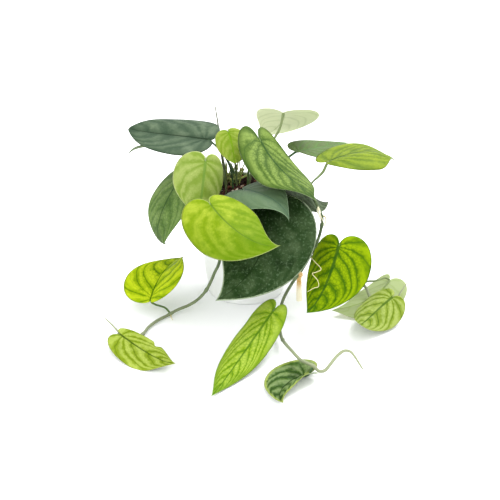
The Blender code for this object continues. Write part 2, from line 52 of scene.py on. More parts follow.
# %% [markdown]
# ## Camera
#
# The photograph looks down at the plant by 25 degrees from about a metre away, with a long lens
# that keeps the pot's sides nearly upright. The camera could be aimed with a constraint, but a
# plain place and tilt are easier to read and to repeat.

# %% Place the camera
CAMERA_PLACE = (0.0044, -1.0692, 0.5448)
CAMERA_TILT = 25.0
CAMERA_LENS = 77.76
SENSOR_WIDTH = 36.0

camera = bpy.data.objects.new("camera", bpy.data.cameras.new("camera"))
camera.data.lens = CAMERA_LENS
camera.data.sensor_width = SENSOR_WIDTH
camera.location = CAMERA_PLACE
camera.rotation_euler = (math.radians(90 - CAMERA_TILT), 0, 0)
scene.collection.objects.link(camera)
scene.camera = camera
scene.view_settings.view_transform = "Standard"
print("Camera lens in mm:", camera.data.lens)

# %% [markdown]
# ## A short way to write node trees
#
# Materials and Geometry Nodes are both trees of nodes. Clicking them together is easy to learn and
# hard to read later, so the lesson writes them as Python. `Value` wraps a socket and turns `+`,
# `*` and the other operators into Math nodes, and `Graph.add` makes any other node.

# %% Wrap sockets so that sums read as sums
class Value:
    """One output socket; arithmetic on it adds Math nodes to its tree."""

    def __init__(self, graph, socket):
        self.graph = graph
        self.socket = socket

    def math(self, operation, *others, flip=False):
        """Add one Math node of this socket and up to two more values."""
        inputs = [self, *others]
        if flip:
            inputs.reverse()
        keys = ("Value", "Value_001", "Value_002")
        return self.graph.add("ShaderNodeMath", {"operation": operation}, **dict(zip(keys, inputs)))

    def __add__(self, other):
        return self.math("ADD", other)

    __radd__ = __add__

    def __sub__(self, other):
        return self.math("SUBTRACT", other)

    def __rsub__(self, other):
        return self.math("SUBTRACT", other, flip=True)

    def __mul__(self, other):
        return self.math("MULTIPLY", other)

    __rmul__ = __mul__

    def __truediv__(self, other):
        return self.math("DIVIDE", other)

    def __rtruediv__(self, other):
        return self.math("DIVIDE", other, flip=True)

    def __abs__(self):
        return self.math("ABSOLUTE")


print("Sums of sockets ready")

# %% Write a node tree
class Graph:
    """A node tree that is being written."""

    def __init__(self, tree):
        self.tree = tree

    def add(self, kind, settings=None, out=None, **inputs):
        """Add a node: its settings first, then a value or a link for each named input."""
        node = self.tree.nodes.new(kind)
        for name, setting in (settings or {}).items():
            setattr(node, name, setting)
        for key, value in inputs.items():
            names = [key, key.replace("_", " ")]
            socket = next(s for s in node.inputs if s.identifier in names)
            if isinstance(value, Value):
                self.tree.links.new(value.socket, socket)
            else:
                socket.default_value = value
        outputs = [s for s in node.outputs if out in (None, s.identifier, s.name)]
        return Value(self, outputs[0]) if outputs else None


print("Node trees ready")

# %% Write a material
class Paint(Graph):
    """A material that is being written, with the few nodes that most finishes need."""

    def __init__(self, name):
        self.material = bpy.data.materials.new(name)
        self.material.use_nodes = True
        super().__init__(self.material.node_tree)
        self.tree.nodes.clear()
        self.place = self.add("ShaderNodeTexCoord", out="Object")

    def attribute(self, name):
        """A number stored on the piece's own points."""
        return self.add("ShaderNodeAttribute", {"attribute_name": name}, out="Fac")

    def noise(self, scale, detail=3.0, roughness=0.55):
        """Soft noise from 0 to 1, with so many spots to the metre."""
        return self.add("ShaderNodeTexNoise", out="Fac", Vector=self.place, Scale=scale,
                        Detail=detail, Roughness=roughness)

    def dots(self, scale, feature="F1"):
        """Distance to the nearest of many scattered points, or to the line between two of them."""
        return self.add("ShaderNodeTexVoronoi", {"feature": feature}, out="Distance",
                        Vector=self.place, Scale=scale)

    def step(self, value, low, high):
        """0 below low, 1 above high and a soft rise between; low may be the larger of the two."""
        return self.add("ShaderNodeMapRange", {"interpolation_type": "SMOOTHSTEP"}, out="Result",
                        Value=value, From_Min=low, From_Max=high)

    def mix(self, first, second, share):
        """A colour between two colours."""
        return self.add("ShaderNodeMix", {"data_type": "RGBA"}, out="Result_Color",
                        Factor_Float=share, A_Color=first, B_Color=second)

    def finish(self, colour, roughness, height=None, depth=0.0002, **fixed):
        """Close the material with a Principled shader and, where given, a bump."""
        inputs = {"Base_Color": colour, "Roughness": roughness, **fixed}
        if height is not None:
            inputs["Normal"] = self.add("ShaderNodeBump", Height=height, Distance=depth)
        shader = self.add("ShaderNodeBsdfPrincipled", **inputs)
        self.add("ShaderNodeOutputMaterial", Surface=shader)
        return self.material


print("Materials ready to be written")

# %% [markdown]
# ## Making pieces
#
# A finished piece is a plain mesh at the origin that rides on the part's one body and stands for its
# CAD node, which it hides. These helpers keep those steps in one place, so that no piece is left
# behind. A shape that follows a rule comes from a Geometry Nodes tree, which `Recipe` writes,
# applies to a source mesh and turns into a plain piece.

# %% Helpers for meshes and pieces
def add_piece(name, mesh):
    """Put a mesh in the scene as an object."""
    mesh.name = name
    piece = bpy.data.objects.new(name, mesh)
    scene.collection.objects.link(piece)
    return piece


def settle(piece, slot, *nodes):
    """Tie a finished piece to the body and hide the CAD nodes it stands for; slot is not used."""
    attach(piece, "root")
    if nodes:
        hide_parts(*nodes)


def store(mesh, **columns):
    """Keep a number for each point of a mesh under each name."""
    for name, numbers in columns.items():
        layer = mesh.attributes.new(name, "FLOAT", "POINT")
        layer.data.foreach_set("value", np.asarray(numbers, dtype=np.float32))


print("Helpers for pieces ready")

# %% Write a Geometry Nodes tree
class Recipe(Graph):
    """A Geometry Nodes tree that is being written, with named sizes as its inputs."""

    def __init__(self, name, **sizes):
        super().__init__(bpy.data.node_groups.new(name, "GeometryNodeTree"))
        face = self.tree.interface
        face.new_socket("Geometry", in_out="INPUT", socket_type="NodeSocketGeometry")
        self.keys = {}
        for label, kind in sizes.items():
            self.keys[label] = face.new_socket(label, in_out="INPUT", socket_type=kind).identifier
        end = face.new_socket("Geometry", in_out="OUTPUT", socket_type="NodeSocketGeometry")
        self.end = end.identifier
        self.source = self.add("NodeGroupInput", out="Geometry")
        self.size = {label: self.add("NodeGroupInput", out=label) for label in sizes}

    def close(self, geometry):
        """Realize what was made, give it the material input and lead it out of the tree."""
        real = self.add("GeometryNodeRealizeInstances", Geometry=geometry)
        done = self.add("GeometryNodeSetMaterial", Geometry=real, Material=self.size["Material"])
        self.add("NodeGroupOutput", **{self.end: done})

    def run(self, name, source, **sizes):
        """Apply the tree to a source mesh and return the outcome as a plain piece."""
        piece = add_piece(name, source)
        modifier = piece.modifiers.new("recipe", "NODES")
        modifier.node_group = self.tree
        for label, size in sizes.items():
            modifier[self.keys[label]] = size
        graph = bpy.context.evaluated_depsgraph_get()
        mesh = bpy.data.meshes.new_from_object(piece.evaluated_get(graph))
        piece.modifiers.clear()
        piece.data = mesh
        mesh.name = name
        return piece


print("Geometry trees ready to be written")

# %% [markdown]
# ## Where everything grows
#
# Vines are given as points in millimetres that a smooth curve passes through. A leaf is given as a
# maker would describe it: where its blade begins, which way it points and leans, how long and wide
# it is, and how its midrib and its halves bend. All of it could be drawn by hand in the viewport,
# but numbers in a table can be read, compared and run again. The values are the CAD model's own, so
# each fine piece lies where its solid does.

# %% What describes a root, a vine and a leaf
@dataclass
class Root:
    """An aerial root, or a dry sheath: its way in mm and its radius at the stem."""

    points: list
    radius: float
    sheath: bool = False


@dataclass
class Vine:
    """A stem: its way in mm, its bare nodes, where it grows slim, and the aerial roots it bears."""

    name: str
    points: list
    nodes: tuple
    slim_from: float
    end_radius: float = 0.5
    radius: float = 1.6
    roots: tuple = ()


@dataclass
class Leaf:
    """A blade with its petiole, in mm and degrees.

    The blade begins at its base, points by heading, pitch and roll, and bends by droop, sweep and
    curl along the midrib, and by fold and cup in its left and right half. Its petiole starts from a
    root, in the mix or on a vine, passes the places in via, and arrives in a direction.
    """

    name: str
    tone: str
    base: tuple
    heading: float
    pitch: float
    roll: float
    length: float
    width: float
    root: tuple
    arrive: tuple
    droop: float = 20
    sweep: float = 0
    curl: float = 0
    fold: tuple = (0, 0)
    cup: tuple = (-10, -10)
    lobe: float = 0.18
    widest: float = 0.30
    drip: float = 1.0
    halves: tuple = (1.0, 1.0)
    via: tuple = ()


print("A leaf is described by", len(fields(Leaf)), "values")

# %% Places of the vines
VINES = [
    Vine(
        "vine_left",
        [(-17, -18, 84), (-17, -18, 112), (-17, -18, 117), (-21, -32, 122.5), (-29, -50, 123),
         (-34, -67, 109), (-31, -68, 84), (-27, -61, 63), (-32, -62, 50), (-40, -66, 33), (-49, -68, 22),
         (-60, -66, 13), (-72, -64, 6.5), (-82, -70, 3.2), (-92, -81, 3), (-100, -95, 3), (-105, -110, 3),
         (-114, -119, 3), (-124, -116, 4.2), (-131, -107, 6), (-138, -100, 10), (-145, -95, 14)],
        nodes=((-40, -66, 33), (-105, -110, 3)),
        slim_from=0.88,
        roots=(
            Root([(-79, -68, 4), (-78.5, -72, 2.5), (-76.5, -77, 1.5)], 0.6),
        ),
    ),
    Vine(
        "vine_front",
        [(20, -10, 84), (20, -10, 112), (20, -10, 118), (23, -15, 125), (31, -20, 132), (44, -22, 135),
         (56, -23, 132.5), (66, -22, 124.5), (73, -24.5, 113), (79, -27.5, 100), (80, -31, 92),
         (76, -40, 78), (70, -47, 67), (58, -60, 51), (48, -72, 42), (38, -88, 30), (34, -104, 17),
         (35, -120, 10),
         (37, -136, 11), (41, -155, 15), (46, -170, 17), (51, -179, 15.5), (56, -180, 12.5),
         (60, -181, 11), (65, -182.5, 9), (70, -184.5, 5), (74, -183, 3.4), (78, -180, 5), (82, -176, 8),
         (88, -169, 12), (94, -165, 15), (99, -166, 17), (104, -170, 14), (108.5, -173, 8),
         (113, -175.5, 1.4)],
        nodes=((80, -30, 92), (37, -136, 11)),
        slim_from=0.92,
        end_radius=0.8,
        roots=(
            Root([(79, -27.5, 99), (83, -27.5, 97.5), (84, -28.5, 94), (83, -30, 87)], 0.7),
            Root([(68, -49, 65), (67, -58, 66), (67, -72, 71), (70, -86, 73), (76, -92, 68), (71, -95, 66),
                  (67, -97, 65), (72, -101, 60), (73, -105, 55), (68, -107, 54), (62, -107, 50)], 0.5),
            Root([(57, -61, 49), (55.5, -64, 45), (55.5, -64, 37), (55.5, -64, 28), (56, -64, 18)], 1.4,
                 sheath=True),
        ),
    ),
    Vine(
        "vine_right",
        [(10, -24, 84), (10, -24, 112), (10, -24, 117), (20, -34, 123), (35, -45, 123), (48, -51, 114),
         (57, -45, 97), (62, -37, 73), (72, -33, 50), (85, -32, 37), (98, -34, 31), (112, -39, 29),
         (126, -44, 25), (131, -58, 18), (137, -70, 12), (145, -76, 6.5), (153, -72, 8), (158, -64, 14),
         (162, -58, 22), (170, -53, 33)],
        nodes=((57, -45, 97), (85, -32, 37)),
        slim_from=0.88,
    ),
    Vine(
        "stem_crown",
        [(4, 38, 84), (4, 38, 112), (4, 38, 117), (0, 39, 119.5), (-8, 39, 120.5), (-15, 38.5, 120),
         (-22, 38, 119)],
        nodes=((-8, 39, 120.5),),
        slim_from=0.95,
        end_radius=1.2,
        radius=2.0,
    ),
    Vine(
        "spear_leaf",
        [(-22, 18, 84), (-22, 18, 112), (-22, 18, 117), (-24, 27, 134), (-28, 37, 155), (-30, 43, 175),
         (-33, 46, 195)],
        nodes=(),
        slim_from=0.30,
        end_radius=0.35,
        radius=1.2,
    ),
]
print(len(VINES), "stems with", sum(len(vine.roots) for vine in VINES), "roots")

# %% Places and bends of the leaves
LEAVES = [
    Leaf(
        "leaf_dark_left", "satin", (-37, 10, 169), 161, 2, -1, 96, 73,
        root=(-14, 12), arrive=(150, 30), droop=6, curl=-13, fold=(-4, 33), cup=(-16, -45),
        lobe=0.08, drip=3.94, halves=(1.0, 1.02),
    ),
    Leaf(
        "leaf_young_back", "lime", (-19, 9, 180), -70, -32, 13, 51, 35,
        root=(-10, 22), arrive=(-100, 55), droop=10, sweep=-16, curl=-74, fold=(-5, 6), cup=(-12, -11),
        lobe=0.08, widest=0.29, drip=1.09, halves=(1.04, 0.94),
    ),
    Leaf(
        "leaf_pale_heart", "pale", (-40, -47, 170), -100, -57, -12, 74, 61,
        root=(-21, 0), arrive=(-110, 20), droop=53, sweep=-2, curl=69, fold=(-27, -3), cup=(-40, -13),
        lobe=0.12, drip=1.08, halves=(0.98, 1.04),
    ),
    Leaf(
        "leaf_lime_front", "lime", (-35, -103, 145), -59, -23, 6, 91, 77,
        root=(-10, -14), arrive=(-110, 25), droop=11, sweep=44, curl=-50, fold=(-11, -10), cup=(-6, -21),
        lobe=0.16, widest=0.33, halves=(0.99, 1.01),
        via=((-11, -17, 120), (-12, -32, 127), (-19, -54, 126), (-27, -80, 132)),
    ),
    Leaf(
        "leaf_veined_top", "bright", (14, -5, 176), -62, -35, -17, 108, 66,
        root=(2, 8), arrive=(-40, 60), droop=-44, curl=28, fold=(-2, 5), cup=(-11, -52), lobe=0.2,
        widest=0.44, drip=1.18, halves=(1.02, 0.99),
    ),
    Leaf(
        "leaf_grey_right", "satin", (41, -1, 130), -18, -15, -19, 60, 56,
        root=(28, 14), arrive=(10, 30), droop=54, sweep=53, curl=-93, fold=(4, -19), cup=(13, -20),
        lobe=0.16, widest=0.4, drip=1.32, halves=(0.93, 1.12),
    ),
    Leaf(
        "leaf_deep_front", "deep", (20, -62, 131), -75, -42, 8, 130, 103,
        root=(16, -17), arrive=(-85, -10), droop=-5, sweep=-70, curl=-4, fold=(4, -10), cup=(-7, -5),
        lobe=0.03, widest=0.27, drip=1.1, halves=(0.97, 1.03),
    ),
    Leaf(
        "leaf_saddle", "satin", (-2, -49, 137), -53, 12, 2, 72, 60,
        root=(6, -8), arrive=(-90, 30), droop=27, sweep=18, curl=68, fold=(1, 1), cup=(14, -40),
        lobe=0.2, widest=0.24, drip=0.51, halves=(1.02, 1.0),
    ),
    Leaf(
        "leaf_dark_hanging", "satin", (-62, -1, 140), -129, -30, -4, 101, 65,
        root=(-26, 6), arrive=(175, 10), droop=37, sweep=1, curl=107, fold=(5, -18), cup=(4, -7),
        lobe=0.09, widest=0.33, drip=1.22, halves=(0.99, 0.96),
    ),
    Leaf(
        "leaf_pale_back", "pale", (40, 41, 189), 79, -30, 7, 89, 71,
        root=(4, 20), arrive=(80, 70), droop=35, sweep=52, curl=-31, fold=(3, 13), cup=(-8, 3),
        lobe=0.19, widest=0.26, drip=1.04, halves=(0.85, 1.1),
    ),
    Leaf(
        "leaf_dark_right", "satin", (54, 48, 143), 34, -5, -3, 74, 52,
        root=(16, 16), arrive=(40, 25), droop=-6, sweep=-5, curl=4, fold=(12, 11), cup=(-8, -31),
        lobe=0.05, widest=0.28, drip=0.85, halves=(0.99, 1.04),
    ),
    Leaf(
        "leaf_lime_right", "lime", (86, 8, 145), 36, 10, -12, 89, 72,
        root=("vine_front", (64, -22, 126)), arrive=(50, 60), droop=23, sweep=-21, curl=45, fold=(3, 8),
        cup=(8, -50), lobe=0.08, widest=0.49, drip=1.1, halves=(0.97, 1.14),
    ),
    Leaf(
        "leaf_heart_right", "bright", (95, -72, 87), -112, -50, 4, 82, 76,
        root=("vine_front", (70, -47, 67)), arrive=(-70, 35), droop=8, sweep=-20, curl=-54,
        fold=(-13, -18), cup=(-17, -22), lobe=0.17, widest=0.27, drip=1.3, halves=(1.0, 0.98),
    ),
    Leaf(
        "leaf_pair_front", "lime", (153, -73, 27), -136, -13, -20, 67, 51,
        root=("vine_right", (156, -62, 12)), arrive=(-140, 10), droop=-4, sweep=11, curl=-49,
        fold=(-20, -10), cup=(-26, -42), lobe=0.17, widest=0.28, drip=1.4, halves=(0.98, 1.05),
    ),
    Leaf(
        "leaf_pair_back", "pale", (154, -32, 25), -125, -25, 157, 78, 54,
        root=("vine_right", (126, -44, 25)), arrive=(-10, -40), droop=8, sweep=55, curl=-30,
        fold=(24, 17), cup=(15, -49), lobe=0.15, widest=0.35, drip=1.06, halves=(0.66, 1.04),
        via=((137, -39, 28),),
    ),
    Leaf(
        "leaf_long_veined", "bright", (29, -124, 40), -125, -25, -20, 126, 49,
        root=("vine_front", (35, -102, 18)), arrive=(-140, 20), droop=-8, sweep=3, curl=-26,
        fold=(-4, -12), cup=(-11, -39), lobe=0.11, widest=0.34, drip=1.29, halves=(0.78, 0.99),
    ),
    Leaf(
        "leaf_curled_floor", "satin", (58, -188, 3), 200, -6, 1, 65, 44,
        root=("vine_front", (62, -182, 10)), arrive=(200, 0), droop=-8, sweep=94, curl=-8, fold=(31, 11),
        cup=(3, 10), lobe=0.23, widest=0.24, halves=(0.99, 1.06),
    ),
    Leaf(
        "leaf_floor_left", "lime", (-126, -125, 12), -47, -7, 18, 85, 48,
        root=("vine_left", (-128, -112, 5)), arrive=(-60, 20), droop=2, sweep=10, curl=-38, fold=(22, 3),
        cup=(-66, -2), lobe=0.1, widest=0.43, drip=1.21, halves=(0.57, 0.97),
    ),
    Leaf(
        "leaf_small_left", "bright", (-100, -67, 18), 75, 40, -31, 76, 77,
        root=("vine_left", (-82, -70, 4)), arrive=(150, 30), droop=46, sweep=1, curl=11, fold=(20, 16),
        cup=(11, -27), lobe=0.05, widest=0.29, drip=0.93, halves=(0.97, 0.99),
    ),
    Leaf(
        "leaf_hidden_left", "satin", (-56, 50, 121), 120, -38, 0, 70, 52,
        root=(-32, 30), arrive=(125, 0), droop=35, fold=(-5, -5),
    ),
    Leaf(
        "leaf_hidden_right", "satin", (28, 68, 120), 70, -45, 0, 86, 62,
        root=(14, 32), arrive=(70, 0), droop=35, fold=(-5, -5),
    ),
]
print(len(LEAVES), "leaves from", min(leaf.length for leaf in LEAVES), "to",
      max(leaf.length for leaf in LEAVES), "mm long")

# %% [markdown]
# ## Curves and the bend of a blade
#
# A blade could be posed with bones or a lattice. A formula is shorter: the midrib turns down and
# sideways along its length, and each half is lifted from it and bent towards its margin. The same
# formula carries every point of the flat leaf, however many there are. The outline itself is two
# cubic curves on each side: one round the lobe at the base and one on to the drip tip.

# %% Curves through points
CURVE_PARTS = 16


def smooth_path(points, step):
    """Points about a step apart along a smooth curve that passes through the given ones."""
    points = [Vector(p) for p in points]
    padded = [2 * points[0] - points[1], *points, 2 * points[-1] - points[-2]]
    fine = []
    for p0, p1, p2, p3 in zip(padded, padded[1:], padded[2:], padded[3:]):
        for k in range(CURVE_PARTS):
            t = k / CURVE_PARTS
            fine.append(0.5 * (2 * p1 + (p2 - p0) * t + (2 * p0 - 5 * p1 + 4 * p2 - p3) * t * t
                               + (3 * p1 - p0 - 3 * p2 + p3) * t ** 3))
    fine.append(points[-1])
    reached = np.cumsum([0.0] + [(b - a).length for a, b in zip(fine, fine[1:])])
    count = max(2, round(reached[-1] / step))
    goals = np.linspace(0, reached[-1], count + 1)
    columns = np.array([tuple(p) for p in fine])
    return [Vector(p) for p in np.stack([np.interp(goals, reached, c) for c in columns.T], axis=1)]


def cubic(p0, p1, p2, p3, count):
    """Points of a cubic curve, both ends included."""
    p0, p1, p2, p3 = (np.asarray(p, dtype=float) for p in (p0, p1, p2, p3))
    t = np.linspace(0, 1, count)[:, None]
    return (1 - t) ** 3 * p0 + 3 * (1 - t) ** 2 * t * p1 + 3 * (1 - t) * t * t * p2 + t ** 3 * p3


way = smooth_path([(0, 0, 0), (10, 5, 0), (20, 0, 0)], 1.0)
print("A curve through three points 22 mm long has", len(way), "points")

# %% The flat outline of a leaf
LOBE_ROWS = 0.45


def half_outline(leaf, rows):
    """One side of the flat blade, from the notch round the basal lobe to the drip tip."""
    length, half = leaf.length * MM, leaf.width * MM / 2
    lobe, widest = leaf.lobe * length, leaf.widest * length
    first = round(rows * LOBE_ROWS)
    lobe_side = cubic((0, 0), (-1.35 * lobe, 0.12 * half), (-lobe, half), (widest, half), first + 1)
    tip_side = cubic((widest, half), (widest + 0.30 * length, half),
                     (0.82 * length, 0.18 * half * leaf.drip), (length, 0), rows - first + 1)
    return np.vstack([lobe_side, tip_side[1:]])


print("Outline of the first leaf has", len(half_outline(LEAVES[0], 60)), "points on a side")

# %% The bend of a leaf
MIDRIB_STEPS = 12
HALF_STEPS = 8


def leaf_axes(leaf):
    """Directions at the base of a blade: along its midrib, to its left, and out of its upper face."""
    heading, pitch, roll = (math.radians(a) for a in (leaf.heading, leaf.pitch, leaf.roll))
    flat = math.cos(pitch)
    along = np.array([flat * math.cos(heading), flat * math.sin(heading), math.sin(pitch)])
    level = np.array([-math.sin(heading), math.cos(heading), 0.0])
    upright = np.cross(along, level)
    left = math.cos(roll) * level + math.sin(roll) * upright
    return along, left, np.cross(along, left)


def bend_blade(leaf, flat):
    """Carry points of the flat blade, in metres, to the place and bend of the real one."""
    along0, left0, up0 = leaf_axes(leaf)
    x, y = flat[:, 0], flat[:, 1]
    share = x / (leaf.length * MM)
    droop, curl, sweep_by = (math.radians(a) for a in (leaf.droop, leaf.curl, leaf.sweep))

    def heading_at(part):
        down = droop * part + curl * np.maximum(part, 0) ** 4
        side = sweep_by * part
        forward = (np.cos(down) * np.cos(side))[:, None] * along0
        ahead = forward + (np.cos(down) * np.sin(side))[:, None] * left0 - np.sin(down)[:, None] * up0
        return ahead, -np.sin(side)[:, None] * along0 + np.cos(side)[:, None] * left0

    place = np.zeros((len(x), 3)) + np.array(leaf.base) * MM
    for k in range(MIDRIB_STEPS):
        place += heading_at(share * (k + 0.5) / MIDRIB_STEPS)[0] * (x / MIDRIB_STEPS)[:, None]
    ahead, left = heading_at(share)
    up = np.cross(ahead, left)
    on_left = y >= 0
    fold = np.radians(np.where(on_left, leaf.fold[0], leaf.fold[1]))
    cup = np.radians(np.where(on_left, leaf.cup[0], leaf.cup[1]))
    out = np.abs(y) * np.where(on_left, leaf.halves[0], leaf.halves[1])
    half = leaf.width * MM / 2
    for k in range(HALF_STEPS):
        angle = fold + cup * out * (k + 0.5) / HALF_STEPS / half
        place += (np.cos(angle) * np.sign(y) * out / HALF_STEPS)[:, None] * left
        place += (np.sin(angle) * out / HALF_STEPS)[:, None] * up
    return place


first_tip = bend_blade(LEAVES[0], np.array([[LEAVES[0].length * MM, 0.0]]))[0]
print("The first leaf's tip lies at", [round(float(v) / MM) for v in first_tip], "mm")

# %% [markdown]
# ## Leaf finishes
#
# A satin pothos leaf is matt and slightly sparkling. Its colour runs from glowing lime in young
# leaves to a grey or black green in old ones. The tissue beside a vein is darker, the fields between
# veins are light, and the margin is a thin pale or dark line. All of that follows the leaf and not
# the room, so each point of a blade carries a few numbers: how far along and to the side it lies, its
# distances from the midrib and the margin, and a vein number that is whole on every side vein. An
# image painted by hand would do as well, but these numbers give any leaf its own pattern for free.
# A few finishes also paint light: shadow at the base of blades that lie under other leaves, and
# light that shines through backlit blades.

# %% Describe each finish
@dataclass
class Look:
    """Colours of one leaf in full light, and how strongly its veins and clouds show.

    veins and basal count the side veins from the midrib and from the base. patch lightens the
    tissue between them, web darkens it beside them, and line, fine and net draw veins, smaller veins
    and the net. mottle and silver are clouds and flecks. border, tip and shade darken the margin, the
    tip and the middle, and foot paints the shadow that the leaves above cast on the blade's base.
    rib_width and rim are in mm, and so are quilt and ripple, the swelling between veins and the wave
    of the margin. stalk widens the petiole. point adds mm at the tip, and each of bulges is a place
    along the blade, with a minus on the right half, a spread, and a depth in mm. The emission number
    paints light that shines through the blade from behind, and gloss is light reflected.
    """

    light: str
    field: str
    dark: str
    rib: str
    margin: str
    under: str
    veins: float = 4.5
    basal: float = 2.5
    patch: float = 0.6
    web: float = 0.5
    web_width: float = 0.5
    line: float = 0.4
    fine: float = 0.15
    rib_width: float = 1.1
    rim: float = 0.9
    mottle: float = 0.3
    silver: float = 0.0
    border: float = 0.0
    tip: float = 0.2
    tip_from: float = 0.62
    foot: float = 0.0
    shade: float = 0.0
    net: float = 0.0
    stalk: float = 1.0
    point: float = 0.0
    bulges: tuple = ()
    quilt: float = 0.35
    ripple: float = 0.5
    glow: float = 0.0
    gloss: float = 0.12


LOOKS = {
    "leaf_dark_left": Look(
        "9fb390", "51694f", "203d28", "293f27", "597549", "7f9468", veins=4, patch=0.2, web=0.1,
        line=0.06, rib_width=1.33, mottle=0.28, gloss=0.072, tip=0.0, border=0.3, net=0.1, point=-4,
        fine=0.08, shade=0.3,
    ),
    "leaf_young_back": Look(
        "c1d263", "98b238", "709e01", "82b209", "d7e299", "c4d66a", veins=4, patch=0.5, web=0.15,
        line=0.1, gloss=0.024, mottle=0.5, net=0.3, shade=0.25,
    ),
    "leaf_pale_heart": Look(
        "cddf80", "9fbb50", "7ea226", "81aa46", "e4f1a7", "b9c98a", veins=4, patch=0.6, web=0.2,
        line=0.1, rib_width=1.54, rim=1.3, gloss=0.03, mottle=0.4, net=0.2, shade=0.25,
    ),
    "leaf_lime_front": Look(
        "dbec54", "98b71c", "62900a", "6a8f2a", "c4d57f", "a9c060", veins=4.5, patch=0.35, web=0.06,
        line=0.06, rib_width=0.9, rim=1.1, tip=0.6, gloss=0.024, mottle=0.55, point=1.5, net=0.15,
        shade=0.3, tip_from=0.25,
    ),
    "leaf_veined_top": Look(
        "a1bd5f", "718f3e", "385d1a", "305926", "9ab27b", "a8c27c", veins=5, patch=0.8, web=0.25,
        line=0.3, rib_width=1.61, tip=0.6, gloss=0.036, border=0.6, mottle=0.35, net=0.5, shade=0.35,
    ),
    # foot and this leaf's near-black dark green paint the shadow that the leaves above cast on its base.
    "leaf_grey_right": Look(
        "a9bb98", "8aa07c", "1c2a12", "4a6440", "9fb58a", "a3b48a", veins=4, silver=0.3, gloss=0.04,
        foot=0.78,
    ),
    # foot and this leaf's near-black dark green paint the shadow that the leaf above casts on its base.
    "leaf_deep_front": Look(
        "5c724c", "2f4b22", "081d01", "1e3810", "cfe2ba", "4f7048", veins=4.5, patch=0.3, web=0.08,
        line=0.02, mottle=0.5, silver=0.33, rim=1.6, gloss=0.048, tip=0.0, rib_width=0.8, foot=0.42,
    ),
    "leaf_saddle": Look(
        "768f66", "6a8762", "4d6b54", "4e7059", "a9c79a", "6f8c66", veins=4, patch=0.2, web=0.05,
        line=0.02, mottle=0.35, gloss=0.09, tip=0.0, rib_width=1.2, point=1.5, foot=0.25, shade=0.25,
    ),
    "leaf_dark_hanging": Look(
        "a9c474", "709246", "355720", "325523", "8bb15c", "7f9c62", veins=4.5, patch=0.3, web=0.3,
        line=0.15, silver=0.15, gloss=0.06, tip=0.1, net=0.35, shade=0.25,
    ),
    # This leaf shows its underside: its near-white under colour and its emission paint light that shines
    # through it from behind.
    "leaf_pale_back": Look(
        "a3b676", "8fa562", "74904e", "a6be64", "b4c68c", "f6ffcc", veins=5, line=0.15, web=0.1,
        patch=0.5, rib_width=0.91, gloss=0.03, glow=0.56, stalk=1.25,
    ),
    "leaf_dark_right": Look(
        "798c5e", "6f894d", "77aa56", "71ac59", "8eaa6b", "7f9c62", veins=4.5, web=0.2, silver=0.2,
        gloss=0.072, stalk=1.3,
    ),
    "leaf_lime_right": Look(
        "c0d540", "85a133", "395f1b", "325b27", "b4ca70", "b4cc78", veins=5, patch=0.4, web=0.12,
        line=0.12, rib_width=1.26, tip=0.25, gloss=0.03, stalk=1.45, net=0.25, shade=0.2, point=-1,
    ),
    "leaf_heart_right": Look(
        "accc0f", "82a709", "2f6a04", "3a6b1f", "559011", "9fc060", veins=5.5, patch=0.95, web=0.6,
        line=0.35, rib_width=2, tip=0.55, quilt=0.5, gloss=0.018, basal=3.5, net=0.4,
    ),
    "leaf_pair_front": Look(
        "cadd79", "9fb73e", "587d14", "4b7317", "ccd97c", "b3c987", veins=4, patch=0.8, web=0.45,
        web_width=0.36, line=0.5, rib_width=1.26, gloss=0.03, quilt=0.5, basal=3, net=0.25,
    ),
    # Its emission paints light that shines through the blade from behind.
    "leaf_pair_back": Look(
        "f6f5cd", "e2eb8a", "a0ba30", "86a922", "fefec0", "c4d49c", veins=4, web=0.3, line=0.3,
        gloss=0.024, glow=0.25,
    ),
    "leaf_long_veined": Look(
        "c8e558", "b5d630", "5f9616", "5a8d1b", "a3cc53", "a8c27c", veins=7, patch=0.9, web=0.72,
        line=0.35, rib_width=1.4, tip=0.35, quilt=0.45, gloss=0.024, border=0.45, net=0.4,
        point=4, mottle=0.4, bulges=((-0.4, 0.035, -2),),
    ),
    "leaf_curled_floor": Look(
        "a6bf7c", "4a731d", "122f02", "183d01", "bccf67", "b4c79a", veins=4.5, patch=0.7, web=0.4,
        line=0.3, rim=3.2, silver=0.2, mottle=0.6, quilt=0.8, ripple=1.1, gloss=0.06, net=0.2,
    ),
    "leaf_floor_left": Look(
        "dbf071", "9fba27", "557404", "406708", "d0dd67", "b3c987", veins=4, patch=0.7, web=0.25,
        web_width=0.32, line=0.4, rib_width=1.26, ripple=1.2, tip=0.1, gloss=0.024, net=0.2,
        bulges=((0.52, 0.035, -6.5),),
    ),
    "leaf_small_left": Look(
        "eaff2d", "b2d30d", "4b7b04", "407909", "bedc2a", "9fc060", veins=4, patch=0.8, web=0.4,
        web_width=0.3, line=0.6, rib_width=1.4, tip=0.35, quilt=0.5, gloss=0.018, basal=3, fine=0.25,
        net=0.25, point=4,
    ),
}
for name in ("leaf_hidden_left", "leaf_hidden_right"):
    LOOKS[name] = Look("6f8c66", "54704c", "3c5838", "3a5636", "86a86a", "7f9c62")
print(len(LOOKS), "leaf finishes described")

# %% Read a colour
OWN_SHARE = 0.5


def hue(code):
    """A linear colour with full alpha from a six-figure web colour, by the sRGB formula."""
    parts = [int(code[k:k + 2], 16) / 255 for k in (0, 2, 4)]
    return (*(p / 12.92 if p <= 0.04045 else ((p + 0.055) / 1.055) ** 2.4 for p in parts), 1.0)


def own(code):
    """The colour a leaf needs so that it looks like the given one under the studio's light."""
    return (*(v * OWN_SHARE for v in hue(code)[:3]), 1.0)


print("A leaf green in linear values:", [round(v, 3) for v in own("9cc832")])

# %% A leaf's colours and numbers in its material
CLOUDS = 55
BLOTCHES = 260
GRAINS = 1100


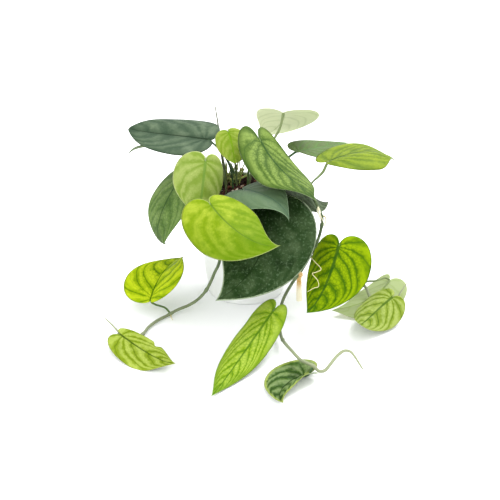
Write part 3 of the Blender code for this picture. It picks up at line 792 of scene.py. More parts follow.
class LeafPaint(Paint):
    """A leaf's material with its colours, its numbers and three noises at hand."""

    def __init__(self, name, look):
        super().__init__(name)
        self.light, self.field, self.dark = own(look.light), own(look.field), own(look.dark)
        self.rib_tone, self.rim_tone, self.under = own(look.rib), own(look.margin), own(look.under)
        self.along, self.side = self.attribute("along"), self.attribute("side")
        self.rib, self.edge = self.attribute("rib_mm"), self.attribute("edge_mm")
        self.cloud, self.blotch = self.noise(CLOUDS), self.noise(BLOTCHES)
        self.grain = self.noise(GRAINS, detail=2)
        self.uneven = self.blotch - 0.5
        self.vein = self.attribute("vein") + self.uneven * 0.2
        self.near = abs(self.vein.math("FRACT") - 0.5) * 2
        width = (1.25 - self.along) * look.rib_width
        self.ribbed = self.step(self.rib / width + self.uneven * 0.4, 1.2, 0.45)

    def darken(self, colour, share):
        """Mix the leaf's darkest green over a colour."""
        return self.mix(colour, self.dark, share)


sample = LeafPaint("sample", LOOKS[LEAVES[0].name])
print("Before any colour is mixed a leaf's material has", len(sample.tree.nodes), "nodes")
bpy.data.materials.remove(sample.material)

# %% The tissue between the veins
def tissue_colour(paint, look):
    """Green, light in clouds and patches and darker to the tip, with painted shade at the base."""
    patch = paint.step(paint.near + paint.uneven * 1.2 + (paint.cloud - 0.5), 0.85, 0.1)
    colour = paint.mix(paint.field, paint.light, patch * look.patch)
    colour = paint.mix(colour, paint.light, paint.step(paint.cloud, 0.5, 0.3) * look.mottle)
    colour = paint.darken(colour, paint.step(paint.cloud, 0.52, 0.75) * look.mottle)
    # tip darkens the blade towards its tip.
    if look.tip:
        tipward = paint.step(paint.along + paint.uneven * 0.2, look.tip_from, look.tip_from + 0.4)
        colour = paint.darken(colour, tipward * look.tip)
    # foot paints shade: the shadow that leaves above cast darkens the blade towards its base.
    if look.foot:
        base = paint.step(paint.along + paint.uneven * 0.1, look.foot, look.foot - 0.3)
        colour = paint.darken(colour, base * 0.85)
    if look.shade:
        colour = paint.darken(colour, paint.step(paint.rib + paint.uneven * 6, 9, 1) * look.shade)
    if look.border:
        colour = paint.darken(colour, paint.step(paint.edge + paint.uneven * 4, 7, 0.5) * look.border)
    return colour


print("Tissue colours ready")

# %% The veins and the margin
NET_CELLS = 300
FLECKS = 380


def vein_colour(paint, look, colour):
    """Draw the side veins, the small veins, the net and the silver flecks over the tissue."""
    web = paint.step(paint.near + paint.uneven * 0.9, 1 - look.web_width, 1.05)
    web = web * paint.step(abs(paint.side), 1.1, 0.6)
    colour = paint.darken(colour, web * look.web)
    minor = abs((paint.vein * 4).math("FRACT") - 0.5) * 2
    colour = paint.darken(colour, paint.step(minor, 0.7, 1.0) * look.fine)
    if look.net:
        mesh = paint.step(paint.dots(NET_CELLS, "DISTANCE_TO_EDGE"), 0.16, 0.02)
        colour = paint.darken(colour, mesh * paint.step(abs(paint.side), 1.0, 0.5) * look.net)
        colour = paint.mix(colour, paint.light, paint.step(paint.grain, 0.55, 0.75) * look.net * 0.6)
    colour = paint.mix(colour, paint.rib_tone, paint.step(paint.near, 0.86, 0.98) * look.line)
    if look.silver:
        fleck = paint.step(paint.noise(FLECKS, detail=4, roughness=0.7), 0.50, 0.70)
        colour = paint.mix(colour, own("8fae84"), fleck * look.silver)
    return colour


def edge_colour(paint, look, colour):
    """Draw the midrib and the margin over the rest of the upper face."""
    colour = paint.mix(colour, paint.rib_tone, paint.ribbed * 0.8)
    wavy = paint.edge + paint.uneven * look.rim
    return paint.mix(colour, paint.rim_tone, paint.step(wavy, look.rim, look.rim * 0.3) * 0.85)


print("Vein colours ready")

# %% Mix the leaf materials
LEAF_ROUGHNESS = 0.48


def leaf_material(name, look):
    """The finish of a blade, its upper face and its underside."""
    paint = LeafPaint(name + "_finish", look)
    colour = edge_colour(paint, look, vein_colour(paint, look, tissue_colour(paint, look)))
    beneath = paint.step(paint.near, 0.6, 1.0) * 0.25 + paint.ribbed * 0.5
    beneath = paint.darken(paint.mix(paint.under, paint.rib_tone, beneath), paint.cloud * 0.2)
    colour = paint.mix(beneath, colour, paint.step(paint.attribute("top"), 0.4, 0.6))
    relief = paint.near * -0.4 + paint.blotch * 0.4 - paint.ribbed * 0.5 + paint.grain * 0.1
    # The emission paints light that shines through the thin blade from behind, on the leaves that have it.
    return paint.finish(colour, LEAF_ROUGHNESS + (paint.grain - 0.5) * 0.2, relief, depth=0.0004,
                        Specular_IOR_Level=look.gloss, Emission_Color=colour,
                        Emission_Strength=look.glow)


leaf_paints = {name: leaf_material(name, look) for name, look in LOOKS.items()}
print(len(leaf_paints), "leaf finishes mixed")

# %% [markdown]
# ## Leaf blades
#
# A blade is half a millimetre thick in the middle and almost sharp at its margin. One way is a
# sheet with Solidify, but that leaves a square rim. Here the upper and lower faces are made
# together and share their rim points, so that the margin thins out as it does on a real leaf. The
# surface is quilted between the veins, grooved over the midrib and keeled beneath it.

# %% The points of a flat blade
BLADE_ROWS = 64
HALF_COLUMNS = 16
COLUMNS = 2 * HALF_COLUMNS + 1


def blade_points(leaf):
    """Flat points with their shares along and to the side, and their distances to the margin in mm."""
    edge = half_outline(leaf, BLADE_ROWS)
    ribs = np.linspace(0, leaf.length * MM, BLADE_ROWS + 1)
    flat, along, side = [edge[0]], [0.0], [0.0]
    for row in range(1, BLADE_ROWS):
        middle = np.array([ribs[row], 0.0])
        for share in np.linspace(-1, 1, COLUMNS):
            rim = edge[row] * [1, 1 if share >= 0 else -1]
            flat.append(middle + (rim - middle) * abs(share))
            along.append(row / BLADE_ROWS)
            side.append(share)
    flat, along, side = np.array([*flat, edge[-1]]), np.array([*along, 1.0]), np.array([*side, 0.0])
    dense = half_outline(leaf, 6 * BLADE_ROWS)
    mirrored = np.column_stack([flat[:, 0], np.abs(flat[:, 1])])
    gaps = np.linalg.norm(mirrored[:, None, :] - dense[None, :, :], axis=2).min(axis=1)
    return flat, along, side, gaps / MM


print("A flat blade has", len(blade_points(LEAVES[0])[0]), "points")

# %% The faces of a flat blade
def blade_faces():
    """Faces between the points, a fan of triangles at each end among them, and the rim's points."""
    tip = 1 + (BLADE_ROWS - 1) * COLUMNS
    faces = []
    for c in range(COLUMNS - 1):
        faces.append((0, 1 + c, 2 + c))
        faces.append((tip, tip - COLUMNS + c + 1, tip - COLUMNS + c))
        for row in range(BLADE_ROWS - 2):
            a = 1 + row * COLUMNS + c
            faces.append((a, a + COLUMNS, a + COLUMNS + 1, a + 1))
    rim = [0, tip]
    for row in range(BLADE_ROWS - 1):
        rim += [1 + row * COLUMNS, COLUMNS + row * COLUMNS]
    return faces, rim


FLAT_FACES, FLAT_RIM = blade_faces()
print("A flat blade has", len(FLAT_FACES), "faces, and", len(FLAT_RIM), "of its points are on the rim")

# %% [markdown]
# ## Side veins
#
# Four to seven veins leave the midrib on each side of a real blade and arch towards its tip, and a
# few more fan out into the lobe. They could be drawn as curves and pressed into the surface. Here a
# number that grows by one from vein to vein does it, because both the relief and the colours can
# tell from it how near a vein is.

# %% Number the side veins
VEIN_LEAN = 0.74


def vein_number(along, side, look):
    """A number that is whole on each side vein.

    Veins leave the midrib aslant and arch to the tip; below the first of them a few more fan out
    from the base of the blade into its lobe.
    """
    lean = VEIN_LEAN * np.maximum(np.abs(side), 1e-6) ** 1.1
    sway = 0.10 * np.sin(9 * along + 3 * side) + 0.06 * np.sin(23 * along - 8 * side)
    upper = look.veins * (along - lean) / (1 - lean)
    basal = look.basal * (along / lean - 1)
    return np.where(along > lean, upper, basal) + sway + 0.35 * (side > 0)


halfway = vein_number(np.array([0.5]), np.array([0.5]), LOOKS[LEAVES[0].name])
print("Halfway along the first leaf the vein number is", round(float(halfway[0]), 2))

# %% The relief of a blade
HALF_THICKNESS = 0.28 * MM
KEEL = 0.55 * MM
GROOVE = 0.25 * MM
GROOVE_WIDTH = 0.9
KEEL_WIDTH = 1.1
QUILT_FROM = 4
THIN_RIM = 1.5


def shape_margin(look, flat, along, side):
    """Move the tip, and press the margin in or out, by what the leaf's finish says."""
    flat[-1, 0] += look.point * MM
    for place, spread, depth in look.bulges:
        bump = np.exp(-(((along - abs(place)) / spread) ** 2)) * (side * place > 0)
        flat[:, 1] += np.sign(side) * depth * MM * bump * np.abs(side) ** 3


def blade_relief(leaf, look, along, side, rib, edge, vein):
    """Heights over the middle of the blade: of its upper face, of its lower face and of its rim."""
    inside = np.clip(rib / QUILT_FROM, 0, 1) * np.clip(edge / QUILT_FROM, 0, 1)
    swell = look.quilt * MM * np.sin(math.pi * vein) ** 2 * inside
    waves = 11 * along + leaf.length + leaf.heading + 2 * np.sign(side)
    ripple = look.ripple * MM * np.sin(waves) * np.abs(side) ** 3 * np.clip(4 - 4 * along, 0, 1)
    groove = GROOVE * np.exp(-((rib / GROOVE_WIDTH) ** 2)) * (1 - along)
    body = HALF_THICKNESS * np.clip(edge / THIN_RIM, 0, 1) ** 0.5
    keel = KEEL * np.exp(-((rib / KEEL_WIDTH) ** 2)) * (1.0 - 0.8 * along) * np.clip(edge / 3, 0, 1)
    return swell + ripple + body - groove, swell + ripple - body - keel, ripple


print("A blade is", round(2 * HALF_THICKNESS / MM, 2), "mm thick beside its midrib")

# %% Make one blade
def point_normals(points, faces):
    """Unit normals at the points of a mesh."""
    normals = np.zeros_like(points)
    for face in faces:
        a, b, c = points[face[0]], points[face[1]], points[face[2]]
        normals[list(face)] += np.cross(b - a, c - a)
    return normals / np.linalg.norm(normals, axis=1)[:, None]


def make_blade(leaf, look):
    """The fine mesh of one blade: its upper face, and its lower face on the same rim."""
    flat, along, side, edge = blade_points(leaf)
    shape_margin(look, flat, along, side)
    rib = np.abs(flat[:, 1]) / MM
    vein = vein_number(along, side, look)
    middle = bend_blade(leaf, flat)
    normals = point_normals(middle, FLAT_FACES)
    over, under, wave = (middle + normals * height[:, None]
                         for height in blade_relief(leaf, look, along, side, rib, edge, vein))
    over[FLAT_RIM] = wave[FLAT_RIM]
    every = np.arange(len(flat))
    inner = np.setdiff1d(every, FLAT_RIM)
    lower = every.copy()
    lower[inner] = len(flat) + np.arange(len(inner))
    faces = FLAT_FACES + [tuple(int(lower[i]) for i in reversed(face)) for face in FLAT_FACES]
    mesh = bpy.data.meshes.new(leaf.name)
    mesh.from_pydata([tuple(p) for p in np.vstack([over, under[inner]])], [], faces)
    top = np.ones(len(flat))
    top[FLAT_RIM] = 0.5
    pick = np.concatenate([every, inner])
    store(mesh, along=along[pick], side=side[pick], rib_mm=rib[pick], edge_mm=edge[pick],
          vein=vein[pick], top=np.concatenate([top, np.zeros(len(inner))]))
    mesh.shade_smooth()
    return mesh


sample = make_blade(LEAVES[0], LOOKS[LEAVES[0].name])
print("A blade has", len(sample.vertices), "points and", len(sample.polygons), "faces")
bpy.data.meshes.remove(sample)

# %% [markdown]
# ## Stems and stalks
#
# Every stalk, vine and root is a round stem that follows a curve, so one Geometry Nodes tree makes
# them all: it turns a chain of edges into a curve and sweeps a circle along it, as wide at each
# point as the `radius` stored there. A curve object with a bevel would look the same, but its
# thickness is set by hand at every point, and it has no place for more numbers.

# %% The tree that sweeps a stem
def stem_recipe():
    """Sweep a circle along a chain of edges."""
    recipe = Recipe("stem", Sides="NodeSocketInt", Material="NodeSocketMaterial")
    curve = recipe.add("GeometryNodeMeshToCurve", Mesh=recipe.source)
    radius = recipe.add("GeometryNodeInputNamedAttribute", {"data_type": "FLOAT"}, Name="radius")
    circle = recipe.add("GeometryNodeCurvePrimitiveCircle", Resolution=recipe.size["Sides"], Radius=1.0)
    tube = recipe.add("GeometryNodeCurveToMesh", Curve=curve, Profile_Curve=circle, Scale=radius,
                      Fill_Caps=True)
    recipe.close(recipe.add("GeometryNodeSetShadeSmooth", Geometry=tube, Shade_Smooth=True))
    return recipe


stem_tree = stem_recipe()


def chain(name, points, radii):
    """A chain of edges with a radius at each point, and the share of the stem that it has passed."""
    mesh = bpy.data.meshes.new(name)
    mesh.from_pydata([tuple(p) for p in points], [(k, k + 1) for k in range(len(points) - 1)], [])
    lengths = np.cumsum([0.0] + [(b - a).length for a, b in zip(points, points[1:])])
    store(mesh, radius=radii, along=lengths / lengths[-1])
    return mesh


print("The stem's tree has", len(stem_tree.tree.nodes), "nodes")

# %% [markdown]
# ## Stem finishes
#
# Stems are fleshy green with fine streaks along them and a few pale dots, and they fade towards
# their young ends. Roots and sheaths are dry and pale. A gradient painted by hand would need a
# map for every stem, so the share along the stem, which each point carries, fades the colour.

# %% Mix the stem and root finishes
def stem_material(name, dark, light, end, flecks):
    """A fleshy green stem with long streaks, paler towards its end."""
    paint = Paint(name)
    along = paint.attribute("along")
    cloud = paint.noise(120)
    streak = paint.noise(1500, detail=2)
    colour = paint.mix(own(dark), own(light), paint.step(cloud, 0.35, 0.7))
    colour = paint.mix(colour, own(end), paint.step(along, 0.35, 1.0))
    colour = paint.mix(colour, own("d9dfc4"), paint.step(paint.dots(900), 0.22, 0.10) * flecks)
    return paint.finish(colour, 0.45 + streak * 0.15, streak, depth=0.0001, Specular_IOR_Level=0.12)


def root_material(name, dark, light):
    """A dry aerial root or sheath, paler at its end."""
    paint = Paint(name)
    grain = paint.noise(700)
    colour = paint.mix(hue(dark), hue(light), paint.step(grain, 0.3, 0.9) * 0.7)
    colour = paint.mix(colour, hue(light), paint.step(paint.attribute("along"), 0.3, 0.65))
    return paint.finish(colour, 0.75, grain)


vine_paint = stem_material("vine_green", "62774f", "8da173", "c2cba2", 0.2)
stalk_paints = {
    "lime": stem_material("stalk_lime", "74885a", "94a872", "9cb06e", 0.1),
    "bright": stem_material("stalk_bright", "62824a", "7f9a5c", "7fa052", 0.1),
    "pale": stem_material("stalk_pale", "8a9e66", "aabd84", "a8ba80", 0.1),
    "spear": stem_material("spear_green", "55633f", "6e7c58", "9c9f88", 0.0),
    "sprout": stem_material("sprout_green", "b4c468", "dfe79c", "cfe07c", 0.1),
    "satin": stem_material("stalk_satin", "4f6f4a", "5f8256", "5c7d54", 0.2),
    "deep": stem_material("stalk_deep", "48663f", "587a4c", "456540", 0.2),
}
root_paint = root_material("aerial_root", "a39a66", "d6cc9c")
sheath_paint = root_material("dry_sheath", "cf9a3c", "f6ecd2")
print(len(stalk_paints) + 3, "stem and root finishes mixed")

# %% [markdown]
# ## Vines
#
# A vine swells a little at every node, where a leaf and its aerial roots grow, and thins towards
# its young end. Each node could be a ring that is modelled and joined on. A smooth bump in the
# radius is enough, and it leaves no seam.

# %% The lines of the vines
NODE_SWELL = 1.3
CAD_STEP = 7.0 * MM


def in_metres(points):
    """Points in mm as vectors in metres."""
    return [Vector(p) * MM for p in points]


def nearest_index(path, place):
    """Index of the path's point nearest to a place in mm."""
    place = Vector(place) * MM
    return min(range(len(path)), key=lambda index: (path[index] - place).length)


def vine_nodes(vine, path):
    """Indices of the path points that are nodes."""
    places = [leaf.root[1] for leaf in LEAVES if leaf.root[0] == vine.name]
    return {nearest_index(path, place) for place in [*vine.nodes, *places]}


def slim_radius(vine, share):
    """Radius of the bare stem at a share of its length."""
    left = np.clip((1 - share) / (1 - vine.slim_from), 0, 1)
    return (vine.end_radius + (vine.radius - vine.end_radius) * left) * MM


def vine_line(vine):
    """The coarse line of a vine, as its solid has it, and the radius at each of its points."""
    path = smooth_path(in_metres(vine.points), CAD_STEP)
    nodes = vine_nodes(vine, path)
    last = len(path) - 1
    radii = [slim_radius(vine, k / last) * (NODE_SWELL if k in nodes else 1) for k in range(last + 1)]
    return path, radii


lines = {vine.name: vine_line(vine) for vine in VINES}
for name, (way, _) in lines.items():
    print(name, "is", round(sum((b - a).length for a, b in zip(way, way[1:])) / MM), "mm long")

# %% The fine shape of a vine
FINE_STEP = 1.2 * MM
NODE_REACH = 2.4 * MM
WAIST_PLACE = 4.5 * MM
WAIST_REACH = 1.2 * MM
WAIST_DEPTH = 0.25
SPEAR_SWELL = 1.6


def fine_vine(vine):
    """A fine chain along a vine, swollen at its nodes and slim beside them."""
    coarse, _ = lines[vine.name]
    path = smooth_path(coarse, FINE_STEP)
    nodes = [coarse[k] for k in vine_nodes(vine, coarse)]
    radii = []
    for k, point in enumerate(path):
        near = min([(point - node).length for node in nodes], default=1.0)
        bump = math.exp(-(near / NODE_REACH) ** 2)
        bump -= WAIST_DEPTH * math.exp(-((near - WAIST_PLACE) / WAIST_REACH) ** 2)
        radii.append(slim_radius(vine, k / (len(path) - 1)) * (1 + (NODE_SWELL - 1) * bump))
    if vine.name == "spear_leaf":
        radii = [radius * SPEAR_SWELL for radius in radii]
    radii[0] *= 0.6
    radii[-1] *= 0.5
    return chain(vine.name, path, radii)


sample = fine_vine(VINES[0])
print("The first vine's fine chain has", len(sample.vertices), "points")
bpy.data.meshes.remove(sample)

# %% Grow the vines and their roots
ROOT_STEP = 1.0 * MM
ROOT_COLLAR = 0.5


def root_radii(root, number, count):
    """Radii along an aerial root, which thins as it goes, or along a dry sheath, which flares."""
    taper, spread = (-0.4, 1.6) if root.sheath else (0.45, 1.0)
    radii = []
    for k in range(count + 1):
        wobble = 1 + 0.12 * math.sin(2.1 * k + number) + ROOT_COLLAR * math.exp(-(((k - 2.5) / 2) ** 2))
        radii.append(root.radius * MM * spread * (1 - taper * k / count) * wobble)
    return radii


def grow(name, way, radii, sides, paint):
    """Sweep a small growth along its way and tie it to the body."""
    growth = stem_tree.run(name, chain(name, way, radii), Sides=sides, Material=paint)
    settle(growth, "stem_green")


for vine in VINES:
    paint = stalk_paints["spear"] if vine.name == "spear_leaf" else vine_paint
    piece = stem_tree.run(vine.name + "_stem", fine_vine(vine), Sides=16, Material=paint)
    settle(piece, "stem_green", vine.name)
    for number, root in enumerate(vine.roots):
        way = smooth_path(in_metres(root.points), ROOT_STEP)
        grow(f"{vine.name}_root_{number}", way, root_radii(root, number, len(way) - 1), 8,
             sheath_paint if root.sheath else root_paint)
print(len(VINES), "stems grown")

# %% [markdown]
# ## Small growths
#
# The crown is crowded with young shoots and one dark husk. A leaf that has rolled up shows its
# curled tip, and a vine bears a pale knob where fresh roots begin. Each could be sculpted, but at
# this size a short swept stem with its own thickness at each point looks the same.

# %% Add the small growths
GROWTHS = [
    ("shoot_dark", "satin", [1.3, 1.1, 0.8],
     [(-11, 26, 112), (-12, 27, 123), (-18, 30, 136), (-25, 33, 149)]),
    ("shoot_left", "sprout", [1.2, 1.0, 0.6],
     [(-14, 31, 112), (-15, 33, 121), (-17, 35, 128), (-21, 38, 139)]),
    ("shoot_mid", "sprout", [1.1, 0.9, 0.6],
     [(-12, 33, 112), (-11, 35, 121), (-10, 38, 128), (-7, 42, 138)]),
    ("shoot_right", "sprout", [1.0, 0.9, 0.5],
     [(-9, 33, 112), (-8, 34, 119), (-5, 37, 125), (-1, 40, 133)]),
    ("shoot_low", "sprout", [1.4, 1.2, 0.5],
     [(-16, 22, 112), (-15, 21, 117), (-17, 20, 122)]),
    ("shoot_flat", "sprout", [0.8, 1.3, 1.2, 0.8],
     [(-29, 33, 114), (-20, 30, 117), (-8, 29, 118), (3, 32, 122)]),
    ("curled_tip", "tip", [0.8, 1.6, 1.5, 1.0, 0.4],
     [(-106, 38, 153), (-112, 38, 152.5), (-118, 38, 151), (-123, 38, 148.5), (-128, 38, 144)]),
    ("husk", "husk", [1.0, 2.0, 0.6],
     [(-7, 41, 122), (-4, 42, 124.5), (-2, 42, 123)]),
    ("knob", "knob", [0.6, 2.0, 2.1, 0.6],
     [(75.5, -27.5, 109), (75.8, -28.8, 106), (76.4, -29.6, 103), (77.5, -30.2, 100)]),
    ("knob_root", "knob", [0.7, 0.5, 0.35],
     [(77, -30, 102), (79.5, -31, 97), (82, -31, 91), (83.3, -30, 86)]),
    ("knob_thread", "knob", [0.6, 0.3],
     [(77, -30, 101), (77.8, -31.5, 96), (79.4, -32.5, 91)]),
]
GROWTH_PAINTS = {**stalk_paints, "husk": root_material("husk", "5a1f1c", "8a3a30"),
                 "knob": root_material("fresh_root", "d9d2ae", "f4f0dc"),
                 "tip": stem_material("tip_green", "8ba078", "a8b88c", "7d8f6c", 0.0)}

for name, finish, widths, points in GROWTHS:
    way = smooth_path(in_metres(points), ROOT_STEP)
    radii = np.interp(np.linspace(0, len(widths) - 1, len(way)), range(len(widths)), widths) * MM
    grow(name, way, radii, 10, GROWTH_PAINTS[finish])
print(len(GROWTHS), "small growths added")

# %% [markdown]
# ## Sprouts
#
# Between the stalks a real crown is full of thin pale sprouts, too many to place one by one. They
# could be copies of one sprout, but copies show. Each is drawn by lot instead, with a fixed seed,
# so that every run grows the same ones.

# %% Sow the sprouts at the crown
SPROUTS = 24
SPROUT_FOOT = 112
SPROUT_RADII = (1.1, 0.5)

chance = np.random.default_rng(7)
for number in range(SPROUTS):
    foot = Vector((chance.uniform(-27, -5), chance.uniform(26, 38), SPROUT_FOOT))
    lean = Vector((chance.uniform(-6, 6), chance.uniform(-2, 4), chance.uniform(12, 25)))
    tip = foot + lean + Vector((lean.x, 0, 0)) * 0.4
    way = smooth_path([foot * MM, (foot + lean * 0.5) * MM, tip * MM], ROOT_STEP)
    grow(f"sprout_{number}", way, np.linspace(*SPROUT_RADII, len(way)) * MM, 8, stalk_paints["sprout"])
print(SPROUTS, "sprouts sown")

# %% [markdown]
# ## Leaves on their stalks
#
# Each petiole rises from the bark mix or from a node of a vine and runs on under the midrib. Blade
# and stalk could be two objects, one parented to the other. They are one object with two materials
# here, because they grew as one and the CAD model has one solid for both.

# %% The foot of a petiole
GAP = 0.3 * MM
HOLE_BOTTOM = 84
SOIL_TOP = 111 * MM
SOIL_RELIEF = 2.6 * MM


def petiole_foot(leaf, joint):
    """The first two points of a petiole, in the soil or on a vine, and the way it grows from there."""
    if isinstance(leaf.root[0], str):
        name, place = leaf.root
        path, radii = lines[name]
        index = nearest_index(path, place)
        stem = path[index]
        along = (path[min(index + 1, len(path) - 1)] - path[index - 1]).normalized()
        outward = (joint - stem) - along * (joint - stem).dot(along)
        outward.normalize()
        start = stem + outward * (radii[index] + 1.5 * GAP)
        return [stem + outward * radii[index] * 0.5, start], outward
    x, y = leaf.root
    start = Vector((x * MM, y * MM, SOIL_TOP + SOIL_RELIEF + 2 * MM))
    return [Vector((x, y, HOLE_BOTTOM + 1)) * MM, start], Vector((0, 0, 1))


foot, _ = petiole_foot(LEAVES[0], Vector(LEAVES[0].base) * MM)
print("The first leaf's stalk starts at", [round(v / MM) for v in foot[0]], "mm")

# %% The way of a petiole
PETIOLE_RADIUS = 1.05 * MM
MIDRIB_SHARES = (0.05, 0.10, 0.15)


def compass(azimuth, elevation):
    """Unit vector in a compass direction and slope, in degrees."""
    a, e = math.radians(azimuth), math.radians(elevation)
    return Vector((math.cos(e) * math.cos(a), math.cos(e) * math.sin(a), math.sin(e)))


def petiole_path(leaf):
    """The petiole's way: from its hole in the soil or its node on a vine to under the midrib."""
    up0 = Vector(leaf_axes(leaf)[2])
    joint = Vector(leaf.base) * MM - up0 * 1.1 * PETIOLE_RADIUS
    points, rise = petiole_foot(leaf, joint)
    start = points[-1]
    reach = (joint - start).length
    arrive = compass(*leaf.arrive)
    if leaf.via:
        ways = [start, start + rise * 3 * MM, *in_metres(leaf.via), joint - arrive * 4 * MM, joint]
        points += smooth_path(ways, 7 * MM)[1:]
    else:
        curve = cubic(start, start + rise * 0.4 * reach, joint - arrive * 0.4 * reach, joint,
                      max(5, round(reach / (10 * MM))))
        points += [Vector(p) for p in curve[1:]]
    for share in MIDRIB_SHARES:
        spot = bend_blade(leaf, np.array([[share * leaf.length * MM, 0.0]]))[0]
        points.append(Vector(spot) - up0 * PETIOLE_RADIUS * (1.1 - share * 2))
    return points


def stalk_chain(leaf):
    """A fine chain along a petiole that thins into the midrib."""
    path = smooth_path(petiole_path(leaf), FINE_STEP)
    left = np.array([(p - path[-1]).length for p in path])
    blend = np.clip(left / (MIDRIB_SHARES[-1] * leaf.length * MM), 0, 1)
    radii = PETIOLE_RADIUS * (0.3 + 0.7 * blend ** 0.7)
    radii *= 1 + (LOOKS[leaf.name].stalk - 1) * np.clip(np.linspace(0, 4, len(path)) - 1, 0, 1)
    return chain(leaf.name, path, radii)


print("The first leaf's stalk has", len(petiole_path(LEAVES[0])), "points")

# %% Join each blade and its stalk
BLADE_NUMBERS = ("along", "edge_mm", "rib_mm", "side", "top", "vein")


def join_meshes(name, first, second):
    """One mesh from two, each keeping its own material and numbers."""
    points, faces, picks, columns = [], [], [], {key: [] for key in BLADE_NUMBERS}
    for number, mesh in enumerate((first, second)):
        base = len(points)
        points += [tuple(v.co) for v in mesh.vertices]
        faces += [tuple(base + i for i in polygon.vertices) for polygon in mesh.polygons]
        picks += [number] * len(mesh.polygons)
        for key in BLADE_NUMBERS:
            column = np.zeros(len(mesh.vertices), dtype=np.float32)
            if key in mesh.attributes:
                mesh.attributes[key].data.foreach_get("value", column)
            columns[key].append(column)
    joined = bpy.data.meshes.new(name)
    joined.from_pydata(points, [], faces)
    joined.polygons.foreach_set("material_index", picks)
    store(joined, **{key: np.concatenate(column) for key, column in columns.items()})
    joined.shade_smooth()
    return joined


for leaf in LEAVES:
    blade = make_blade(leaf, LOOKS[leaf.name])
    stalk_paint = stalk_paints[leaf.tone]
    stalk = stem_tree.run(leaf.name + "_stalk", stalk_chain(leaf), Sides=12, Material=stalk_paint)
    whole = join_meshes(leaf.name + "_blade", blade, stalk.data)
    whole.materials.append(leaf_paints[leaf.name])
    whole.materials.append(stalk_paint)
    bpy.data.objects.remove(stalk)
    settle(add_piece(leaf.name + "_blade", whole), "leaf_" + leaf.tone, leaf.name)
print(len(LEAVES), "leaves made")

# %% [markdown]
# ## Nursery pot
#
# The pot is thin white plastic, tapered so that pots nest, with a thicker lip that keeps it round.
# The Screw modifier would turn its profile too, and then its seam and its poles would have to be
# merged. A few lines of code lathe the wall closed, with one point on the axis at each end.

# %% The profile of the pot
POT_HEIGHT = 115 * MM
POT_BASE_RADIUS = 41 * MM
POT_RIM_RADIUS = 60 * MM
POT_WALL = 1.8 * MM
POT_FLOOR = 2.5 * MM
POT_LIP_HEIGHT = 7 * MM
POT_LIP_DEPTH = 2 * MM
POT_SIDES = 160
POT_CORNER = 0.7 * MM


def pot_outer_radius(height):
    """Radius of the pot's tapered outside at a height."""
    return POT_BASE_RADIUS + (POT_RIM_RADIUS - POT_LIP_DEPTH - POT_BASE_RADIUS) * height / POT_HEIGHT


def lathe(name, profile, sides):
    """Turn a closed profile of (radius, height) about Z, from the axis below to the axis above."""
    points = [(0, 0, profile[0][1])]
    turn = 2 * math.pi / sides
    for radius, height in profile[1:-1]:
        points += [(radius * math.cos(k * turn), radius * math.sin(k * turn), height) for k in range(sides)]
    points.append((0, 0, profile[-1][1]))
    rings = len(profile) - 2
    faces = []
    for k in range(sides):
        after = (k + 1) % sides
        faces.append((0, 1 + after, 1 + k))
        top = 1 + (rings - 1) * sides
        faces.append((top + k, top + after, len(points) - 1))
        for ring in range(rings - 1):
            a = 1 + ring * sides
            faces.append((a + k, a + after, a + sides + after, a + sides + k))
    mesh = bpy.data.meshes.new(name)
    mesh.from_pydata(points, [], faces)
    mesh.shade_smooth()
    return mesh


def pot_profile():
    """The wall's outline, out and up the outside, over the lip and down inside."""
    lip = POT_HEIGHT - POT_LIP_HEIGHT
    soft = POT_CORNER
    inner = pot_outer_radius(POT_HEIGHT) - POT_WALL
    outer = [(0, 0.6 * MM), (POT_BASE_RADIUS - 6 * MM, 0.6 * MM), (POT_BASE_RADIUS - 5 * MM, 0),
             (POT_BASE_RADIUS - 1.5 * MM, 0), (POT_BASE_RADIUS - 0.4 * MM, 0.4 * MM),
             (pot_outer_radius(1.5 * MM), 1.5 * MM)]
    heights = (3 * MM, 30 * MM, 60 * MM, 90 * MM, lip - 3 * MM, lip - 0.5 * MM)
    outer += [(pot_outer_radius(h), h) for h in heights]
    outer += [(pot_outer_radius(lip) + 0.3 * MM, lip), (POT_RIM_RADIUS - soft, lip + 0.1 * MM)]
    outer += [(POT_RIM_RADIUS - 0.15 * MM, lip + soft), (POT_RIM_RADIUS, lip + 2 * soft)]
    outer += [(POT_RIM_RADIUS, POT_HEIGHT - 2 * soft), (POT_RIM_RADIUS - 0.2 * MM, POT_HEIGHT - 0.5 * soft)]
    outer += [(POT_RIM_RADIUS - soft, POT_HEIGHT), (inner + soft, POT_HEIGHT), (inner, POT_HEIGHT - soft)]
    inside = [(pot_outer_radius(h) - POT_WALL, h) for h in (100 * MM, 60 * MM, 20 * MM, POT_FLOOR)]
    return [*outer, *inside, (0, POT_FLOOR)]


print("The pot's profile has", len(pot_profile()), "points")

# %% Turn the pot and give it its plastic
def plastic_material():
    """White injection-moulded plastic, faintly uneven and satin."""
    paint = Paint("white_plastic")
    cloud = paint.noise(18)
    grain = paint.noise(2200, detail=2)
    colour = paint.mix(hue("e4e5e3"), hue("dadcda"), paint.step(cloud, 0.3, 0.7))
    return paint.finish(colour, 0.34 + cloud * 0.1, grain, depth=0.00003, Specular_IOR_Level=0.5)


pot = add_piece("nursery_pot", lathe("nursery_pot", pot_profile(), POT_SIDES))
pot.data.materials.append(plastic_material())
settle(pot, "white_plastic", "pot")
print("The pot is", round(2 * POT_RIM_RADIUS / MM), "mm across its rim")

# %% [markdown]
# ## Bark mix
#
# The pot is filled with dark peat and chips of bark, heaped a little at the back. The surface could
# be sculpted or pushed out by a Displace modifier. A formula gives each of its points a height
# instead, so that it keeps the form of the solid it stands for.

# %% The lumpy surface
HEAP = 3.2 * MM
HEAP_PLACE = -10 * MM
HEAP_WIDTH = 24 * MM
HEAP_FRONT = 28 * MM
HEAP_RISE = 15 * MM
MOUND = 2.0 * MM
LUMPS = 260
LUMP_SPREAD = 56 * MM
LUMP_HEIGHT = 1.6
LUMP_SLOPE = 0.18
SOIL_RINGS = 44
SOIL_SIDES = 96


